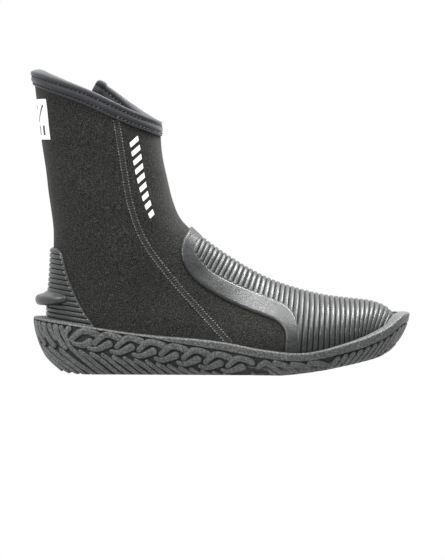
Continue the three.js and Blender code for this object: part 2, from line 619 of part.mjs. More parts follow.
const pivotHeight = plateHigh + (BRIDGE_HEIGHT - BRIDGE_WALL) / 2;
const tabShape = new THREE.Shape()
  .moveTo(-TAB_WIDTH / 2, TAB / 2)
  .absarc(0, TAB_WIDTH / 2 - TAB_LENGTH, TAB_WIDTH / 2, Math.PI, 2 * Math.PI)
  .lineTo(TAB_WIDTH / 2, TAB / 2);
const tabPlate = new THREE.ExtrudeGeometry(tabShape, { depth: TAB, bevelEnabled: false, curveSegments: 8 })
  .translate(0, 0, -TAB / 2)
  .rotateX(Math.PI / 2) // it now lies along the zip
  .translate(0, pivotHeight, sliderMiddle);
const [eyeAcross, eyeAlong] = TAB_EYE;
const eyeTop = sliderMiddle - TAB / 2;
const eye = box([-eyeAcross / 2, pivotHeight - TAB, eyeTop - eyeAlong], [eyeAcross / 2, pivotHeight + TAB, eyeTop]);
add("zip_pull_tab", solidOf(tabPlate).subtract(eye), "metal", zip);

// ------------------------------------------------------------------------------------------------------ prints
const PATCH = { height: 28, width: 46, middle: 176.5 };
const patchBox = new THREE.BoxGeometry(60, PATCH.width, PATCH.height).translate(
  gradeX(-131), 0, gradeZ(PATCH.middle),
);
const printed = skin(GAP, GAP + PRINT).intersect(underBinding);
add("size_patch", printed.intersect(solidOf(patchBox)), "print");
const markLine = line([[-60.5, 164], [-56, 141], [-50.5, 120], [-46, 109]], 8);
add("side_mark", printed.intersect(strip(markLine, -3.3, 3.3, OUTER)), "print");

export default boot;
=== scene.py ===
"""A zipped neoprene boot for water sports: the visual model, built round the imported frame."""
import logging
import math
from collections.abc import Callable, Iterable, Mapping, Sequence
from dataclasses import dataclass
from enum import Enum

import bmesh
import bpy
import numpy as np
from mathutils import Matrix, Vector


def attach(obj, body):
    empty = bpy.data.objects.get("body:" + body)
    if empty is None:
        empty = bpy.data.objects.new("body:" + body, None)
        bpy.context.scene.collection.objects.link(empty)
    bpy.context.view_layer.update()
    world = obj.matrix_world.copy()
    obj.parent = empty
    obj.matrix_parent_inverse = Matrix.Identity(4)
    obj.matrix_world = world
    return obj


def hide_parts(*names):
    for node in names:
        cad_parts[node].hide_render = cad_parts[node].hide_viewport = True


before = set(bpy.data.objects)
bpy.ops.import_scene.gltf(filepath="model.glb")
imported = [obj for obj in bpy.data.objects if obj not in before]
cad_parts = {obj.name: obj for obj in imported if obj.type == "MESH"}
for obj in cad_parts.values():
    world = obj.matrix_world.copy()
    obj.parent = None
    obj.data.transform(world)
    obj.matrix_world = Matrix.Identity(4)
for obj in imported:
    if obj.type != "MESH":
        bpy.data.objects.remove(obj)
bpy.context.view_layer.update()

log = logging.getLogger("boot")
MM = 0.001

Array = np.ndarray
Colour = tuple[float, float, float]
Mesh = tuple[Array, list[tuple[int, ...]]]  # points, and the point numbers of each face
Path = tuple[Array, Array]  # points, and the outward direction at each
Piece = bpy.types.Object
Material = bpy.types.Material
Node = bpy.types.Node
Socket = bpy.types.NodeSocket
Tree = bpy.types.NodeTree


# ---- small maths
def smoothstep(low: float, high: float, value: Array) -> Array:
    """A soft step from 0 at low to 1 at high."""
    t = np.clip((value - low) / (high - low), 0, 1)
    return t * t * (3 - 2 * t)


def unit(vectors: Array) -> Array:
    """The vectors, each with length 1."""
    return vectors / np.maximum(np.linalg.norm(vectors, axis=-1, keepdims=True), 1e-12)


def spline(points: Sequence, where: Array) -> Array:
    """A Catmull-Rom curve through points.

    Args:
        points: the points it passes, each a tuple of any length.
        where: places along it, from 0 at the first point to 1 at the last.

    Returns:
        One row for each place.
    """
    p = np.asarray(points, float)
    p = np.vstack([2 * p[0] - p[1], p, 2 * p[-1] - p[-2]])
    at = np.clip(np.asarray(where, float), 0, 1) * (len(p) - 3)
    i = np.minimum(at.astype(int), len(p) - 4)
    t = (at - i)[..., None]
    a, b, c, d = p[i], p[i + 1], p[i + 2], p[i + 3]
    return b + 0.5 * t * (c - a + t * (2 * a - 5 * b + 4 * c - d + t * (3 * (b - c) + d - a)))


def run_along(points: Array) -> Array:
    """How far along a path each of its points lies."""
    return np.concatenate([[0], np.cumsum(np.linalg.norm(np.diff(points, axis=0), axis=1))])


def read_off(table: Sequence, at: Array | float, column: int = 1) -> Array:
    """A column of a table at places between its rows, whose own places are in the first column."""
    rows = np.array(table)
    return np.interp(at, rows[:, 0], rows[:, column])


def smooth_line(points: Sequence, count: int = 60) -> Array:
    """A drawn line of the side view, as many short steps."""
    return spline(points, np.linspace(0, 1, count))


def side_of(line: Array, points: Array) -> Array:
    """How far points of the side view lie from a line: positive to its left as it runs.

    Args:
        line: the line's points, in order.
        points: one row (x, z) for each point.

    Returns:
        The signed distances.
    """
    a, step = line[:-1], np.diff(line, axis=0)
    length = np.maximum((step**2).sum(1), 1e-12)
    best = np.full(len(points), np.inf)
    sign = np.ones(len(points))
    for k in range(len(a)):
        rel = points - a[k]
        t = rel @ step[k] / length[k]
        low = -1e9 if k == 0 else 0.0
        high = 1e9 if k == len(a) - 1 else 1.0
        off = rel - np.clip(t, low, high)[:, None] * step[k]
        far = (off**2).sum(1)
        near = far < best
        best = np.where(near, far, best)
        sign = np.where(near, np.sign(step[k, 0] * rel[:, 1] - step[k, 1] * rel[:, 0]), sign)
    return sign * np.sqrt(best)


# ---- the last
class Last:
    """The foot form that the whole boot is drawn round, in millimetres."""

    # front and back points in the side view, middle, outer and inner half widths, widest line, ends
    SECTIONS = (
        (-44, 206, -137, 240, 0, 36, 35, 0, 2.3, 2.3), (-43, 176, -130.8, 208, 0, 36, 35, 0, 2.3, 2.3),
        (-41.5, 157, -125.5, 166, 0, 35.5, 35, 0, 2.3, 2.3), (-38, 138, -121.5, 134, 0, 35, 35, 0, 2.3, 2.3),
        (-34, 121, -118.3, 112, 0, 34.5, 35, 0, 2.3, 2.3), (-28, 107.5, -117, 92, 0, 34, 35, 0, 2.3, 2.3),
        (-19, 97.5, -118, 68, 0, 34, 35, 0, 2.2, 2.2), (-8, 88.5, -120, 42, 0, 34, 35, -0.05, 2.2, 2.1),
        (5, 79.5, -119, 18, 0, 34.5, 35, -0.1, 2.1, 2.2), (19, 71, -98, 8.1, 0.5, 36, 35, -0.15, 2.1, 2.8),
        (35, 63, -50, 8.1, 1.5, 38.5, 36, -0.25, 2, 3.6), (53, 56.8, 0, 8.1, 3, 43.5, 38.5, -0.35, 2, 4),
        (72, 52.2, 45, 8.4, 3.5, 47.5, 40.5, -0.35, 2, 4), (90, 49.8, 76, 11, 4.5, 44, 38.5, -0.35, 2, 3.6),
        (104, 48, 96, 15, 5.5, 35.5, 32.5, -0.3, 2.1, 3), (114, 44.5, 109, 19.5, 6, 25, 24, -0.2, 2.1, 2.4),
        (120, 38.5, 117.5, 24, 6, 13.5, 13, -0.1, 2, 2), (122.3, 31, 122.3, 31, 6, 0.01, 0.01, 0, 2, 2),
    )

    def point(self, turn: Array, v: Array) -> Array:
        """Points of its surface.

        Args:
            turn: the way round a section, 0 at the front and positive to the inner side.
            v: the way along, 0 above the collar and 1 at the toe.

        Returns:
            One (x, y, z) row for each.
        """
        turn, v = np.broadcast_arrays(turn, v)
        row = spline(self.SECTIONS, v)
        c, s = np.cos(turn), np.sin(turn)
        end = np.where(c > 0, row[..., 8], row[..., 9])
        reach = (np.abs(c) ** end + np.abs(s) ** end) ** (-1 / end)
        wide = row[..., 7]
        along = wide + reach * c * np.where(c > 0, 1 - wide, 1 + wide)
        share = (1 - along) / 2
        x = row[..., 0] + (row[..., 2] - row[..., 0]) * share
        z = row[..., 1] + (row[..., 3] - row[..., 1]) * share
        y = row[..., 4] + reach * s * np.where(s < 0, row[..., 5], row[..., 6])
        return np.stack([x, y, z], axis=-1)

    def normal(self, turn: Array, v: Array) -> Array:
        """The outward normals at those places."""
        turn, v = np.broadcast_arrays(np.asarray(turn, float), np.asarray(v, float))
        step = 2e-3
        across = self.point(turn + step, v) - self.point(turn - step, v)
        along = self.point(turn, np.minimum(v + step, 1)) - self.point(turn, np.maximum(v - step, 0))
        n = unit(np.cross(along, across))
        return np.where((v > 0.998)[..., None], np.array([1.0, 0, 0]), n)

    def solve(self, turn: Array, test: Callable[[Array], Array], low: float, high: float) -> Array:
        """The v, between low and high, at which a test that rises along the last passes zero."""
        a, b = np.full(turn.shape, low), np.full(turn.shape, high)
        for _ in range(22):
            middle = (a + b) / 2
            under = test(self.point(turn, middle)) < 0
            a, b = np.where(under, middle, a), np.where(under, b, middle)
        return (a + b) / 2


LAST = Last()
OUTER, INNER = -1, 1
NEOPRENE = 5.0
GAP = 0.3  # between pieces that lie on each other
BINDING = 1.2
BINDING_DEPTH = 10.5
FOLD = GAP + BINDING
MEDIAL = 35.0  # how far out the zip's middle line lies

COLLAR_OUTER = smooth_line(
    [(-30, 170), (-43, 173.8), (-62, 181.3), (-91, 194.8), (-119, 205), (-132, 209.5), (-150, 215)]
)
COLLAR_INNER_FRONT = smooth_line(
    [(-30, 170.5), (-43, 174), (-52, 179), (-66, 188.5), (-80, 198.5), (-95, 207)]
)
COLLAR_INNER_BACK = smooth_line([(-70, 188), (-98, 198), (-119, 205), (-132, 209.5), (-150, 215)])
SEAM_OUTER = smooth_line(
    [(-78, 205), (-72, 175), (-66, 137), (-62, 116), (-52.5, 91.5), (-33, 65), (-14, 44), (6, 22), (16, 8)],
    90,
)
SEAM_INNER = smooth_line([(-65, 62), (-62, 50), (-55, 38), (-45, 26), (-32, 8)], 40)
SOLE_RIM = smooth_line(
    [
        (-140, 39.5), (-131, 39), (-110, 36.5), (-87, 33), (-62, 29.3), (-40, 27), (-14, 25), (6, 22.3),
        (24, 18.8), (43, 16.4), (56, 16), (68, 17.6), (84, 21.6), (102, 27), (116, 32.8), (124, 38.5),
        (129, 41.3), (140, 41.6),
    ],
    120,
)
GROUND = smooth_line(
    [(-140, 0), (-90, 0), (-40, 0), (10, 0), (40, 0), (68, 3.2), (84, 6), (104, 10), (117, 13.5), (140, 21)],
    120,
)
GROUND[:, 1] = np.maximum(GROUND[:, 1], 0)
TOE_EDGE = smooth_line(
    [
        (-16, 112), (-22.5, 100), (-27, 92), (-27.5, 82), (-25, 75), (-19.5, 67), (-9.5, 59), (4, 51),
        (17, 45.2), (30.5, 40.2), (38.5, 36.8), (43, 32), (44.5, 26.8), (44, 17), (44, 5),
    ],
    120,
)
HEEL_EDGE = smooth_line(
    [
        (-150, 87.3), (-117, 87), (-112, 86), (-109.3, 82), (-107.3, 74.6), (-104.4, 64.8), (-99.5, 53),
        (-93.6, 42.2), (-87, 33), (-74, 12),
    ],
    90,
)
ZIP_TOP, ZIP_BOTTOM = np.array([-89.8, 188.0]), np.array([-65.0, 62.0])
ZIP_LENGTH = float(np.linalg.norm(ZIP_BOTTOM - ZIP_TOP))
ZIP_DOWN = (ZIP_BOTTOM - ZIP_TOP) / ZIP_LENGTH
ZIP_FRONT = np.array([-ZIP_DOWN[1], ZIP_DOWN[0]])
ZIP_SLOT = 9.0
ZIP_FOOT = 5.5  # how much of the slot's lower corners is clipped off
SLOT_END = 0.5  # how far above the zip's end the slot ends
NO_SLOT = 60.0  # a distance from the slot for the side that has none
DIAGONAL = 0.7071


def on_zip(across: float, down: float) -> Array:
    """A side-view point by its place across the zip, positive to the toe, and down it."""
    return ZIP_TOP + ZIP_FRONT * across + ZIP_DOWN * down


def across_zip(points: Array) -> tuple[Array, Array]:
    """The place across and down the zip of (x, y, z) rows."""
    flat = points[:, [0, 2]] - ZIP_TOP
    return flat @ ZIP_FRONT, flat @ ZIP_DOWN


def height_of(line: Array, x: Array) -> Array:
    """The height of a side-view line at x."""
    order = np.argsort(line[:, 0])
    return np.interp(x, line[order, 0], line[order, 1])


def by_side(points: Array, outer: Array | float, inner: Array) -> Array:
    """Takes the outer side's number where a point lies on that side, and else the inner side's."""
    return np.where(points[:, 1] < 0, outer, inner)


def under_collar(points: Array) -> Array:
    """How far (x, y, z) rows lie below the neoprene's edge at the collar."""
    flat = points[:, [0, 2]]
    ahead = across_zip(points)[0] > 0
    inner = np.where(ahead, -side_of(COLLAR_INNER_FRONT[::-1], flat), -side_of(COLLAR_INNER_BACK[::-1], flat))
    return by_side(points, -side_of(COLLAR_OUTER[::-1], flat), inner)


def before_seam(points: Array) -> Array:
    """How far rows lie in front of the two seams and the zip's middle line."""
    flat = points[:, [0, 2]]
    inner_line = np.vstack([on_zip(0, -60), on_zip(0, ZIP_LENGTH / 2), SEAM_INNER])
    return by_side(points, side_of(SEAM_OUTER, flat), side_of(inner_line, flat))


def over_rim(points: Array) -> Array:
    """How far rows lie above the outsole's rim."""
    return side_of(SOLE_RIM, points[:, [0, 2]])


def over_base(points: Array, height: float) -> Array:
    """How far rows lie above a height over the last's underside."""
    base = spline(LAST.SECTIONS, np.linspace(9, 16, 60) / 17)[:, 2:4]  # the ninth section to the sixteenth
    return side_of(base, points[:, [0, 2]]) - height


# ---- mesh tools
@dataclass
class Skin:
    """An open sheet of faces with a normal at each point, in millimetres."""

    pos: Array
    nrm: Array
    faces: list[tuple[int, ...]]
    extra: Array

    @classmethod
    def grid(cls, pos: Array, nrm: Array, closed: bool = False, extra: Array | None = None) -> "Skin":
        """A sheet from rows of points, with a number to carry at each as extra."""
        rows, columns = pos.shape[:2]
        index = np.arange(rows * columns).reshape(rows, columns)
        if closed:
            index = np.hstack([index, index[:, :1]])
        a, b, c, d = index[:-1, :-1], index[1:, :-1], index[1:, 1:], index[:-1, 1:]
        faces = np.stack([a, b, c, d], axis=-1).reshape(-1, 4)
        carried = np.zeros(rows * columns) if extra is None else np.asarray(extra, float).reshape(-1)
        return cls(pos.reshape(-1, 3), nrm.reshape(-1, 3), [tuple(f) for f in faces.tolist()], carried)

    def _divide(self, value: Array, keep_low: bool) -> None:
        """Splits each face along value = 0, and drops the low side unless it is kept."""
        value = np.where(np.abs(value) < 1e-6, 1e-6, value)
        high = value > 0
        pos, nrm, extra = list(self.pos), list(self.nrm), list(self.extra)
        cuts: dict[tuple[int, int], int] = {}

        def crossing(a: int, b: int) -> int:
            """The point where the edge between two points crosses the line."""
            key = (min(a, b), max(a, b))
            if key not in cuts:
                t = value[a] / (value[a] - value[b])
                cuts[key] = len(pos)
                pos.append(self.pos[a] + (self.pos[b] - self.pos[a]) * t)
                nrm.append(unit(self.nrm[a] + (self.nrm[b] - self.nrm[a]) * t))
                extra.append(self.extra[a] + (self.extra[b] - self.extra[a]) * t)
            return cuts[key]

        made = []
        for face in self.faces:
            flags = [high[i] for i in face]
            if all(flags):
                made.append(face)
            elif not any(flags):
                if keep_low:
                    made.append(face)
            else:
                up, down = [], []
                for k, a in enumerate(face):
                    b = face[(k + 1) % len(face)]
                    (up if high[a] else down).append(a)
                    if high[a] != high[b]:
                        middle = crossing(a, b)
                        up.append(middle)
                        down.append(middle)
                if len(up) > 2:
                    made.append(tuple(up))
                if keep_low and len(down) > 2:
                    made.append(tuple(down))
        used = sorted({i for f in made for i in f})
        renumber = {old: new for new, old in enumerate(used)}
        self.pos, self.nrm, self.extra = np.array(pos)[used], np.array(nrm)[used], np.array(extra)[used]
        self.faces = [tuple(renumber[i] for i in f) for f in made]

    def keep(self, test: Callable[[Array], Array]) -> "Skin":
        """Drops what lies where the test is negative, with a clean edge."""
        self._divide(test(self.pos), False)
        return self

    def score(self, test: Callable[[Array], Array], levels: Iterable[float]) -> "Skin":
        """Puts edges along the lines where the test has these values."""
        for level in levels:
            self._divide(test(self.pos) - level, True)
        return self

    def shell(self, outer: Array | float, inner: Array | float) -> Mesh:
        """A closed shell between two offsets along the normals.

        Args:
            outer: the outer offset, for all points or each.
            inner: the inner offset.

        Returns:
            Its points and faces.
        """
        count = len(self.pos)
        top = self.pos + self.nrm * np.broadcast_to(outer, count)[:, None]
        low = self.pos + self.nrm * np.broadcast_to(inner, count)[:, None]
        edges: dict[tuple[int, int], int] = {}
        for f in self.faces:
            for k, a in enumerate(f):
                b = f[(k + 1) % len(f)]
                edges[(a, b)] = edges.get((a, b), 0) + 1
        rim = [(a, b) for a, b in edges if (b, a) not in edges]
        faces = list(self.faces)
        faces += [tuple(i + count for i in reversed(f)) for f in self.faces]
        faces += [(b, a, a + count, b + count) for a, b in rim]
        return np.vstack([top, low]), faces


def placed(name: str, data: object) -> Piece:
    """A new object in the scene."""
    obj = bpy.data.objects.new(name, data)
    bpy.context.scene.collection.objects.link(obj)
    return obj


def mesh_object(name: str, pos: Array, faces: Sequence, smooth_angle: float = 40.0) -> Piece:
    """A mesh object in place, from points in millimetres.

    Args:
        name: its name.
        pos: its points, one (x, y, z) row each.
        faces: point numbers for each face.
        smooth_angle: edges sharper than this, in degrees, stay sharp.

    Returns:
        The object.
    """
    mesh = bpy.data.meshes.new(name)
    mesh.from_pydata((np.asarray(pos, float) * MM).tolist(), [], [tuple(f) for f in faces])
    work = bmesh.new()
    work.from_mesh(mesh)
    bmesh.ops.recalc_face_normals(work, faces=work.faces)
    work.to_mesh(mesh)
    work.free()
    mesh.shade_smooth()
    mesh.set_sharp_from_angle(angle=math.radians(smooth_angle))
    mesh.update()
    return placed(name, mesh)


def swept(sections: Array, closed_path: bool = False) -> Mesh:
    """A closed solid through rings of points.

    Args:
        sections: (rings, points in a ring, 3).
        closed_path: whether the last ring meets the first, and else both ends are capped.

    Returns:
        Its points and faces.
    """
    rings, count = sections.shape[:2]
    index = np.arange(rings * count).reshape(rings, count)
    if closed_path:
        index = np.vstack([index, index[:1]])
    index = np.hstack([index, index[:, :1]])
    a, b, c, d = index[:-1, :-1], index[:-1, 1:], index[1:, 1:], index[1:, :-1]
    faces = [tuple(f) for f in np.stack([a, b, c, d], axis=-1).reshape(-1, 4).tolist()]
    if not closed_path:
        faces.append(tuple(range(count))[::-1])
        faces.append(tuple(range((rings - 1) * count, rings * count)))
    return sections.reshape(-1, 3), faces


def read_rows(at: Array, run: Array, rows: Array) -> Array:
    """Rows at places between those where they are known."""
    return np.stack([np.interp(at, run, rows[:, k]) for k in range(rows.shape[1])], axis=1)


def path_frames(points: Array, normals: Array) -> tuple[Array, Array]:
    """The running direction and the sideways direction at each point of a path on a surface."""
    along = unit(np.gradient(points, axis=0))
    return along, unit(np.cross(normals, along))


def evenly(points: Array, normals: Array, step: float) -> Path:
    """The same path with points a step apart."""
    run = run_along(points)
    at = np.linspace(0, run[-1], max(int(run[-1] / step), 2) + 1)
    return read_rows(at, run, points), unit(read_rows(at, run, normals))


# ---- node graphs
class Graph:
    """Adds nodes to a tree, each with its inputs given by name or number."""

    def __init__(self, tree: Tree) -> None:
        """Starts on an empty tree."""
        self.tree = tree
        tree.nodes.clear()

    def add(self, kind: str, inputs: dict | None = None, **settings: object) -> Node:
        """Adds one node.

        Args:
            kind: the node's type.
            inputs: values or sockets for its inputs, by name or number.
            **settings: its own properties.

        Returns:
            The node.
        """
        node = self.tree.nodes.new(kind)
        for name, value in settings.items():
            setattr(node, name, value)
        return self.feed(node, inputs or {})

    def feed(self, node: Node, inputs: dict) -> Node:
        """Gives inputs of a node their values or the sockets that drive them."""
        for name, value in inputs.items():
            socket = node.inputs[name]
            if isinstance(value, Socket):
                self.tree.links.new(value, socket)
            else:
                socket.default_value = value
        return node

    def math(self, operation: str, *values: object) -> Socket:
        """One step of arithmetic."""
        return self.add("ShaderNodeMath", dict(enumerate(values)), operation=operation).outputs[0]


class Repeat(Enum):
    """The ways in which small parts are repeated."""

    ALONG_PATH = "repeat_along_path"
    IN_A_ROW = "repeat_in_a_row"


class GeometryTrees:
    """The geometry node trees, each built once."""

    def __init__(self) -> None:
        """Builds the three trees."""
        self.along_path = self._along_path()
        self.in_a_row = self._in_a_row()
        self.grooves = self._grooves()

    @staticmethod
    def _start(name: str, inputs: dict[str, str]) -> tuple[Graph, Mapping[str, Socket]]:
        """A new tree with geometry in and out, and the sockets of its named inputs."""
        tree = bpy.data.node_groups.new(name, "GeometryNodeTree")
        tree.interface.new_socket("Geometry", in_out="INPUT", socket_type="NodeSocketGeometry")
        for label, kind in inputs.items():
            tree.interface.new_socket(label, in_out="INPUT", socket_type=kind)
        tree.interface.new_socket("Geometry", in_out="OUTPUT", socket_type="NodeSocketGeometry")
        graph = Graph(tree)
        return graph, graph.add("NodeGroupInput").outputs

    @staticmethod
    def _end(graph: Graph, start: Mapping[str, Socket], geometry: Socket) -> Tree:
        """Realises the instances, sets the finish and closes the tree."""
        real = graph.add("GeometryNodeRealizeInstances", {"Geometry": geometry}).outputs[0]
        inputs = {"Geometry": real, "Material": start["Finish"]}
        dressed = graph.add("GeometryNodeSetMaterial", inputs).outputs[0]
        graph.add("NodeGroupOutput", {"Geometry": dressed})
        return graph.tree

    def _along_path(self) -> Tree:
        """Copies of a small part, a pitch apart, that follow a path and stand on its surface."""
        graph, start = self._start(
            Repeat.ALONG_PATH.value,
            {"Part": "NodeSocketObject", "Pitch": "NodeSocketFloat", "Unevenness": "NodeSocketFloat",
             "Seed": "NodeSocketInt", "Finish": "NodeSocketMaterial"},
        )
        curve = graph.add("GeometryNodeMeshToCurve", {"Mesh": start["Geometry"]}).outputs[0]
        points = graph.add(
            "GeometryNodeResampleCurve", {"Curve": curve, "Length": start["Pitch"]}, mode="LENGTH"
        ).outputs[0]
        out = graph.add("GeometryNodeInputNamedAttribute", {"Name": "out"}, data_type="FLOAT_VECTOR")
        axes = {0: out.outputs[0], 1: graph.add("GeometryNodeInputTangent").outputs[0]}
        turned = graph.add("FunctionNodeAxesToRotation", axes, primary_axis="Z", secondary_axis="X")
        part = graph.add("GeometryNodeObjectInfo", {"Object": start["Part"]}).outputs["Geometry"]
        least = graph.math("SUBTRACT", 1.0, start["Unevenness"])
        size = graph.add(
            "FunctionNodeRandomValue", {2: least, 3: 1.0, "Seed": start["Seed"]}, data_type="FLOAT"
        ).outputs[1]
        inputs = {"Points": points, "Instance": part, "Rotation": turned.outputs[0], "Scale": size}
        copies = graph.add("GeometryNodeInstanceOnPoints", inputs).outputs[0]
        return self._end(graph, start, copies)

    def _in_a_row(self) -> Tree:
        """Copies of the mesh itself in a straight row."""
        graph, start = self._start(
            Repeat.IN_A_ROW.value,
            {"Count": "NodeSocketInt", "Pitch": "NodeSocketFloat", "Finish": "NodeSocketMaterial"},
        )
        step = graph.add("ShaderNodeCombineXYZ", {0: start["Pitch"]}).outputs[0]
        row = graph.add("GeometryNodeMeshLine", {"Count": start["Count"], "Offset": step}).outputs[0]
        copies = graph.add(
            "GeometryNodeInstanceOnPoints", {"Points": row, "Instance": start["Geometry"]}
        ).outputs[0]
        return self._end(graph, start, copies)

    def _grooves(self) -> Tree:
        """Ribs with narrow grooves between them, cut where the phase attribute passes a whole number."""
        graph, start = self._start(
            "ribs_and_grooves",
            {"Depth": "NodeSocketFloat", "Crown": "NodeSocketFloat", "Groove Share": "NodeSocketFloat",
             "Finish": "NodeSocketMaterial"},
        )
        read = lambda name, kind: graph.add(
            "GeometryNodeInputNamedAttribute", {"Name": name}, data_type=kind
        ).outputs[0]
        fraction = graph.math("FRACT", read("phase", "FLOAT"))
        off_middle = graph.math("ABSOLUTE", graph.math("SUBTRACT", fraction, 0.5))
        near_groove = graph.math("SUBTRACT", 0.5, start["Groove Share"])
        groove = graph.add(
            "ShaderNodeMapRange", {0: off_middle, 1: near_groove, 2: 0.5, 3: 0.0, 4: 1.0},
            interpolation_type="SMOOTHSTEP",
        ).outputs[0]
        crown = graph.math("POWER", graph.math("MULTIPLY", off_middle, 2.0), 2.5)
        sunk = graph.math(
            "ADD", graph.math("MULTIPLY", groove, start["Depth"]),
            graph.math("MULTIPLY", crown, start["Crown"]),
        )
        masked = graph.math("MULTIPLY", graph.math("MULTIPLY", sunk, read("mask", "FLOAT")), -1.0)
        shift = graph.add(
            "ShaderNodeVectorMath", {0: read("out", "FLOAT_VECTOR"), "Scale": masked}, operation="SCALE"
        ).outputs[0]
        moved = graph.add("GeometryNodeSetPosition", {"Geometry": start["Geometry"], "Offset": shift})
        return self._end(graph, start, moved.outputs[0])


def run_tree(obj: Piece, tree: Tree, inputs: dict[str, object]) -> Piece:
    """Puts a piece through a geometry tree and leaves it a plain mesh.

    Args:
        obj: the piece.
        tree: the tree.
        inputs: values for its inputs, by label.

    Returns:
        The piece.
    """
    modifier = obj.modifiers.new(tree.name, "NODES")
    modifier.node_group = tree
    for item in tree.interface.items_tree:
        if item.item_type == "SOCKET" and item.in_out == "INPUT" and item.name in inputs:
            modifier[item.identifier] = inputs[item.name]
    depsgraph = bpy.context.evaluated_depsgraph_get()
    made = bpy.data.meshes.new_from_object(
        obj.evaluated_get(depsgraph), preserve_all_data_layers=True, depsgraph=depsgraph
    )
    obj.modifiers.clear()
    old, obj.data = obj.data, made
    bpy.data.meshes.remove(old)
    made.name = obj.name
    return obj


def set_attribute(obj: Piece, name: str, values: Array) -> None:
    """Stores a number or a vector at each point of a piece."""
    vector = values.ndim == 2
    attribute = obj.data.attributes.new(name, "FLOAT_VECTOR" if vector else "FLOAT", "POINT")
    attribute.data.foreach_set("vector" if vector else "value", values.astype(np.float32).ravel())


def drop_attributes(obj: Piece, *names: str) -> None:
    """Removes working attributes."""
    for name in names:
        if name in obj.data.attributes:
            obj.data.attributes.remove(obj.data.attributes[name])


TREES = GeometryTrees()


# ---- finishes
def surface(name: str) -> tuple[Material, Graph, Node, Socket]:
    """A new material with its graph, its shader and Object coordinates."""
    material = bpy.data.materials.new(name)
    material.use_nodes = True
    graph = Graph(material.node_tree)
    shader = graph.add("ShaderNodeBsdfPrincipled")
    graph.add("ShaderNodeOutputMaterial", {"Surface": shader.outputs[0]})
    return material, graph, shader, graph.add("ShaderNodeTexCoord").outputs["Object"]


def noise(graph: Graph, at: Socket, scale: float, detail: float = 2.0, rough: float = 0.5) -> Socket:
    """A noise value, with its scale in repeats for each metre."""
    inputs = {"Vector": at, "Scale": scale, "Detail": detail, "Roughness": rough}
    return graph.add("ShaderNodeTexNoise", inputs).outputs[0]


def ramp(graph: Graph, value: object, stops: Sequence[tuple[float, Colour]]) -> object:
    """A colour that goes through stops as a value rises."""
    node = graph.add("ShaderNodeValToRGB", {0: value})
    while len(node.color_ramp.elements) < len(stops):
        node.color_ramp.elements.new(0.5)
    for element, (place, colour) in zip(node.color_ramp.elements, stops):
        element.position = place
        element.color = (*colour, 1)
    return node.outputs[0]


def mixed(graph: Graph, share: object, low: object, high: object, blend: str = "MIX") -> object:
    """A mix of two colours."""
    node = graph.add("ShaderNodeMix", {0: share, 6: low, 7: high}, data_type="RGBA", blend_type=blend)
    return node.outputs[2]


def span(graph: Graph, value: object, low: float, high: float, to_low: float, to_high: float) -> object:
    """A value moved from one range to another."""
    return graph.add("ShaderNodeMapRange", {0: value, 1: low, 2: high, 3: to_low, 4: to_high}).outputs[0]


def bump(graph: Graph, shader: Node, layers: Sequence[tuple[object, float]]) -> None:
    """Adds fine relief to a shader: each layer is a height and its depth in millimetres."""
    normal = None
    for height, depth in layers:
        inputs = {"Height": height, "Distance": depth * MM, "Strength": 1.0}
        if normal is not None:
            inputs["Normal"] = normal
        normal = graph.add("ShaderNodeBump", inputs).outputs[0]
    graph.feed(shader, {"Normal": normal})


def scaled(colour: Colour, by: float) -> Colour:
    """A colour made lighter or darker."""
    return (colour[0] * by, colour[1] * by, colour[2] * by)


@dataclass(frozen=True)
class KnitFinish:
    """Nylon knit laminated on foam rubber: fine flecks, a soft sheen and slow shading."""

    name: str
    colour: Colour
    fleck: float = 3.2
    loop: float = 0.9

    def material(self) -> Material:
        """Builds the finish."""
        made, graph, shader, at = surface(self.name)
        fleck = noise(graph, at, 1000 / self.loop, 3.0, 0.75)
        flecked = ramp(
            graph, fleck,
            [
                (0.36, scaled(self.colour, 0.35)), (0.49, self.colour),
                (0.58, scaled(self.colour, self.fleck * 0.5)), (0.7, scaled(self.colour, self.fleck)),
            ],
        )
        slow = ramp(graph, noise(graph, at, 22, 3.0), [(0.3, (0.86,) * 3), (0.7, (1.15,) * 3)])
        stretch = graph.add("ShaderNodeMapping", {"Vector": at, "Scale": (1.0, 1.0, 0.55)}).outputs[0]
        loops = graph.add(
            "ShaderNodeTexVoronoi", {"Vector": stretch, "Scale": 1000 / self.loop, "Randomness": 0.45}
        ).outputs[0]
        colour = mixed(graph, 1.0, flecked, slow, "MULTIPLY")
        rough = span(graph, fleck, 0.3, 0.8, 0.97, 0.78)
        graph.feed(shader, {"Base Color": colour, "Roughness": rough, "Specular IOR Level": 0.15})
        graph.feed(shader, {"Sheen Weight": 0.08, "Sheen Roughness": 0.55})
        bump(graph, shader, [(noise(graph, at, 140, 2.0), 0.25), (loops, 0.12)])
        return made


